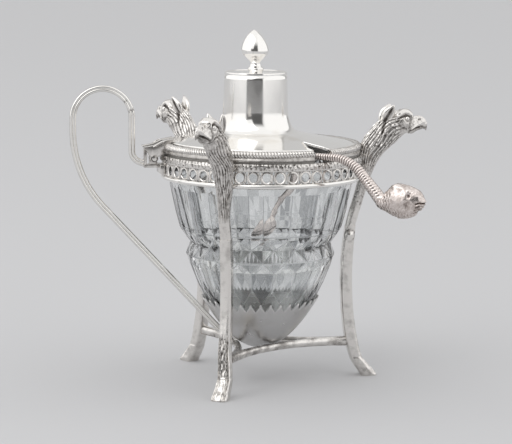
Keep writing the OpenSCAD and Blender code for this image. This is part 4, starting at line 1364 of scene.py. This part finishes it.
def spoon_stem():
    route = [stem_end] + inner_arc + outer_arc + [head_start]
    row = even_row([(x, 0, z) for x, z in route], RIB_PITCH / 4)
    steps = len(row) - 1

    def thickness(t):
        return STEM_R + STEM_SWELL * max(row[round(t * steps)][0], 0) / head_start[0]
    bm = tube(row, thickness, STEM_ROUND)
    around, along = bm.verts.layers.float["around"], bm.verts.layers.float["along"]

    def rib(v):
        u = v[along] * steps * RIB_PITCH / 4
        ribbed = fade(v.co.x, -6.5, -4)
        scaly = fade(v.co.x, 14, 20)
        ring, scale = scales(u, 0, RIB_PITCH, 0), scales(u, v[around], SCALE_PITCH, SCALES_ROUND)
        lift = ring * (1 - scaly) + scale * scaly
        return ribbed * (RIB_H * lift - 0.27), 0.75 - ribbed * (0.66 - 0.9 * lift)
    raise_relief(bm, rib)
    move(bm, TO_SPOON)
    deliver("spoon_ribbed_stem", bm, SPOON, "spoon", "spoon_stem")


spoon_stem()

# %% Spoon: head
# Rows: distance out from the end of the stem, height above it, half depth and half width
BEAST_ROWS = [
    (-0.9, 1.0, 2.4, 2.4), (0, 0, 2.6, 2.6), (1.4, -1.0, 3.4, 2.9), (3.4, -1.1, 4.4, 3.4),
    (5.4, -0.95, 5.9, 4.0), (7.8, -0.6, 6.9, 4.4), (10.5, -0.7, 6.9, 4.6), (13.3, -0.65, 6.3, 4.3),
    (15.8, -0.6, 5.1, 3.6), (17.7, -0.8, 3.3, 2.7), (18.9, -0.9, 1.6, 1.6), (19.4, -1.0, 0.5, 0.5)]
BEAST_STEPS, BEAST_ROUND, FACE_SCALE_PITCH, FACE_SCALES_ROUND = 110, 72, 1.3, 11
LIPS = [(16.4, -1.2), (17.8, -0.7), (19.4, -1.0)]
WHISKERS = [
    [(16.2, -2.6), (17.6, -2.1), (18.9, -2.2)], [(15.8, -3.9), (17.0, -3.4), (18.2, -3.2)],
    [(15.2, -5.1), (16.3, -4.7), (17.2, -4.2)]]
# Round forms of the face: centre and radius
BROW, CREST = ((12.9, 3.3, 4.0), 1.6), ((7.4, 1.9, 5.2), 2.1)
EYE_PIT, CREST_PIT, CHEEK = ((13.4, 3.9, 2.1), 1.2), ((9.6, 3.4, 4.4), 1.2), ((12.9, 4.4, -1.8), 2.6)


def beast_head():
    rows = spline(BEAST_ROWS, BEAST_STEPS)
    path = [(x, 0, z) for x, z, _, _ in rows]
    bm = sweep([frame_at(place, heading_at(path, i), (0, 1, 0), wide, deep)
                for i, (place, (_, _, deep, wide)) in enumerate(zip(path, rows))], BEAST_ROUND)
    around = bm.verts.layers.float["around"]

    def carve(v):
        x, y, z = v.co
        mirrored = Vector((x, abs(y), z))
        chin = (1 - fade(z, -5.0, -3.4)) * (1 - fade(x, 13, 15.5))
        scaly = max(1 - fade(x, 3.5, 8), 0.7 * chin)
        scale = scales(x, v[around], FACE_SCALE_PITCH, FACE_SCALES_ROUND)
        fine = 0.6 * grain(v, 1.3) + 0.5 * grain(v, 3.1)
        raised = hump(mirrored, *BROW) + 1.1 * hump(mirrored, *CREST)
        dented = 1.2 * hump(mirrored, *EYE_PIT) + 0.5 * hump(mirrored, *CREST_PIT)
        hollow = hump(mirrored, *CHEEK)
        if x > 13:
            dented += near_line(x, z, LIPS, 0.45) + 0.7 * sum(near_line(x, z, row, 0.38) for row in WHISKERS)
        lift = 0.24 * scaly * (scale - 0.6) + 0.7 * raised - 0.6 * dented - 0.5 * hollow
        lift += 0.12 * fine - 0.06
        tone = 0.62 - 0.4 * scaly * (0.7 - scale) + 0.35 * raised - 0.6 * dented - 0.2 * hollow
        tone += 0.4 * fine
        return lift, clamp(tone)
    raise_relief(bm, carve)
    move(bm, TO_SPOON @ Matrix.Translation((head_start[0], 0, head_start[1])))
    deliver("spoon_beast_head", bm, SPOON, "spoon", "spoon_head")


beast_head()

# %% Spoon: bowl
BOWL_R, BOWL_SPHERE_R, BOWL_LAP, BOWL_WALL = 6.4, 7.2, 1.6, 0.7


def bowl():
    x, z = from_point(stem_end, INNER_DIR, BOWL_R - BOWL_LAP)
    middle = Vector((x, 0, z))
    opening = Vector((INNER_DIR[1], 0, -INNER_DIR[0]))
    centre = middle + opening * sqrt(BOWL_SPHERE_R ** 2 - BOWL_R ** 2)
    bm = bmesh.new()
    bmesh.ops.create_uvsphere(bm, u_segments=48, v_segments=32, radius=BOWL_SPHERE_R - 0.1)
    tip = Vector((0, 0, 1)).rotation_difference(opening).to_matrix().to_4x4()
    move(bm, Matrix.Translation(centre) @ tip)
    geom = bm.verts[:] + bm.edges[:] + bm.faces[:]
    bmesh.ops.bisect_plane(bm, geom=geom, plane_co=middle, plane_no=opening, clear_outer=True)
    raise_relief(bm, lambda v: (0, 0.85))
    move(bm, TO_SPOON)
    deliver("spoon_round_bowl", bm, SPOON, "spoon", "spoon_bowl", wall=BOWL_WALL)


bowl()

# %% [markdown]
# Two pieces are hardly seen: the seat ring that drops into the glass, and the nut that holds the
# bud from inside. Their solids already have the right shape, so they only get their finish, a
# darkened silver that is painted shade for the gap under the lid's rim and the inside of the tower.

# %% Seat ring and nut
for node in ("lid_bezel", "finial_nut"):
    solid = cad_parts[node]
    solid.data.materials.clear()
    solid.data.materials.append(SHADOWED_SEAT)
    print(node, "keeps its solid")
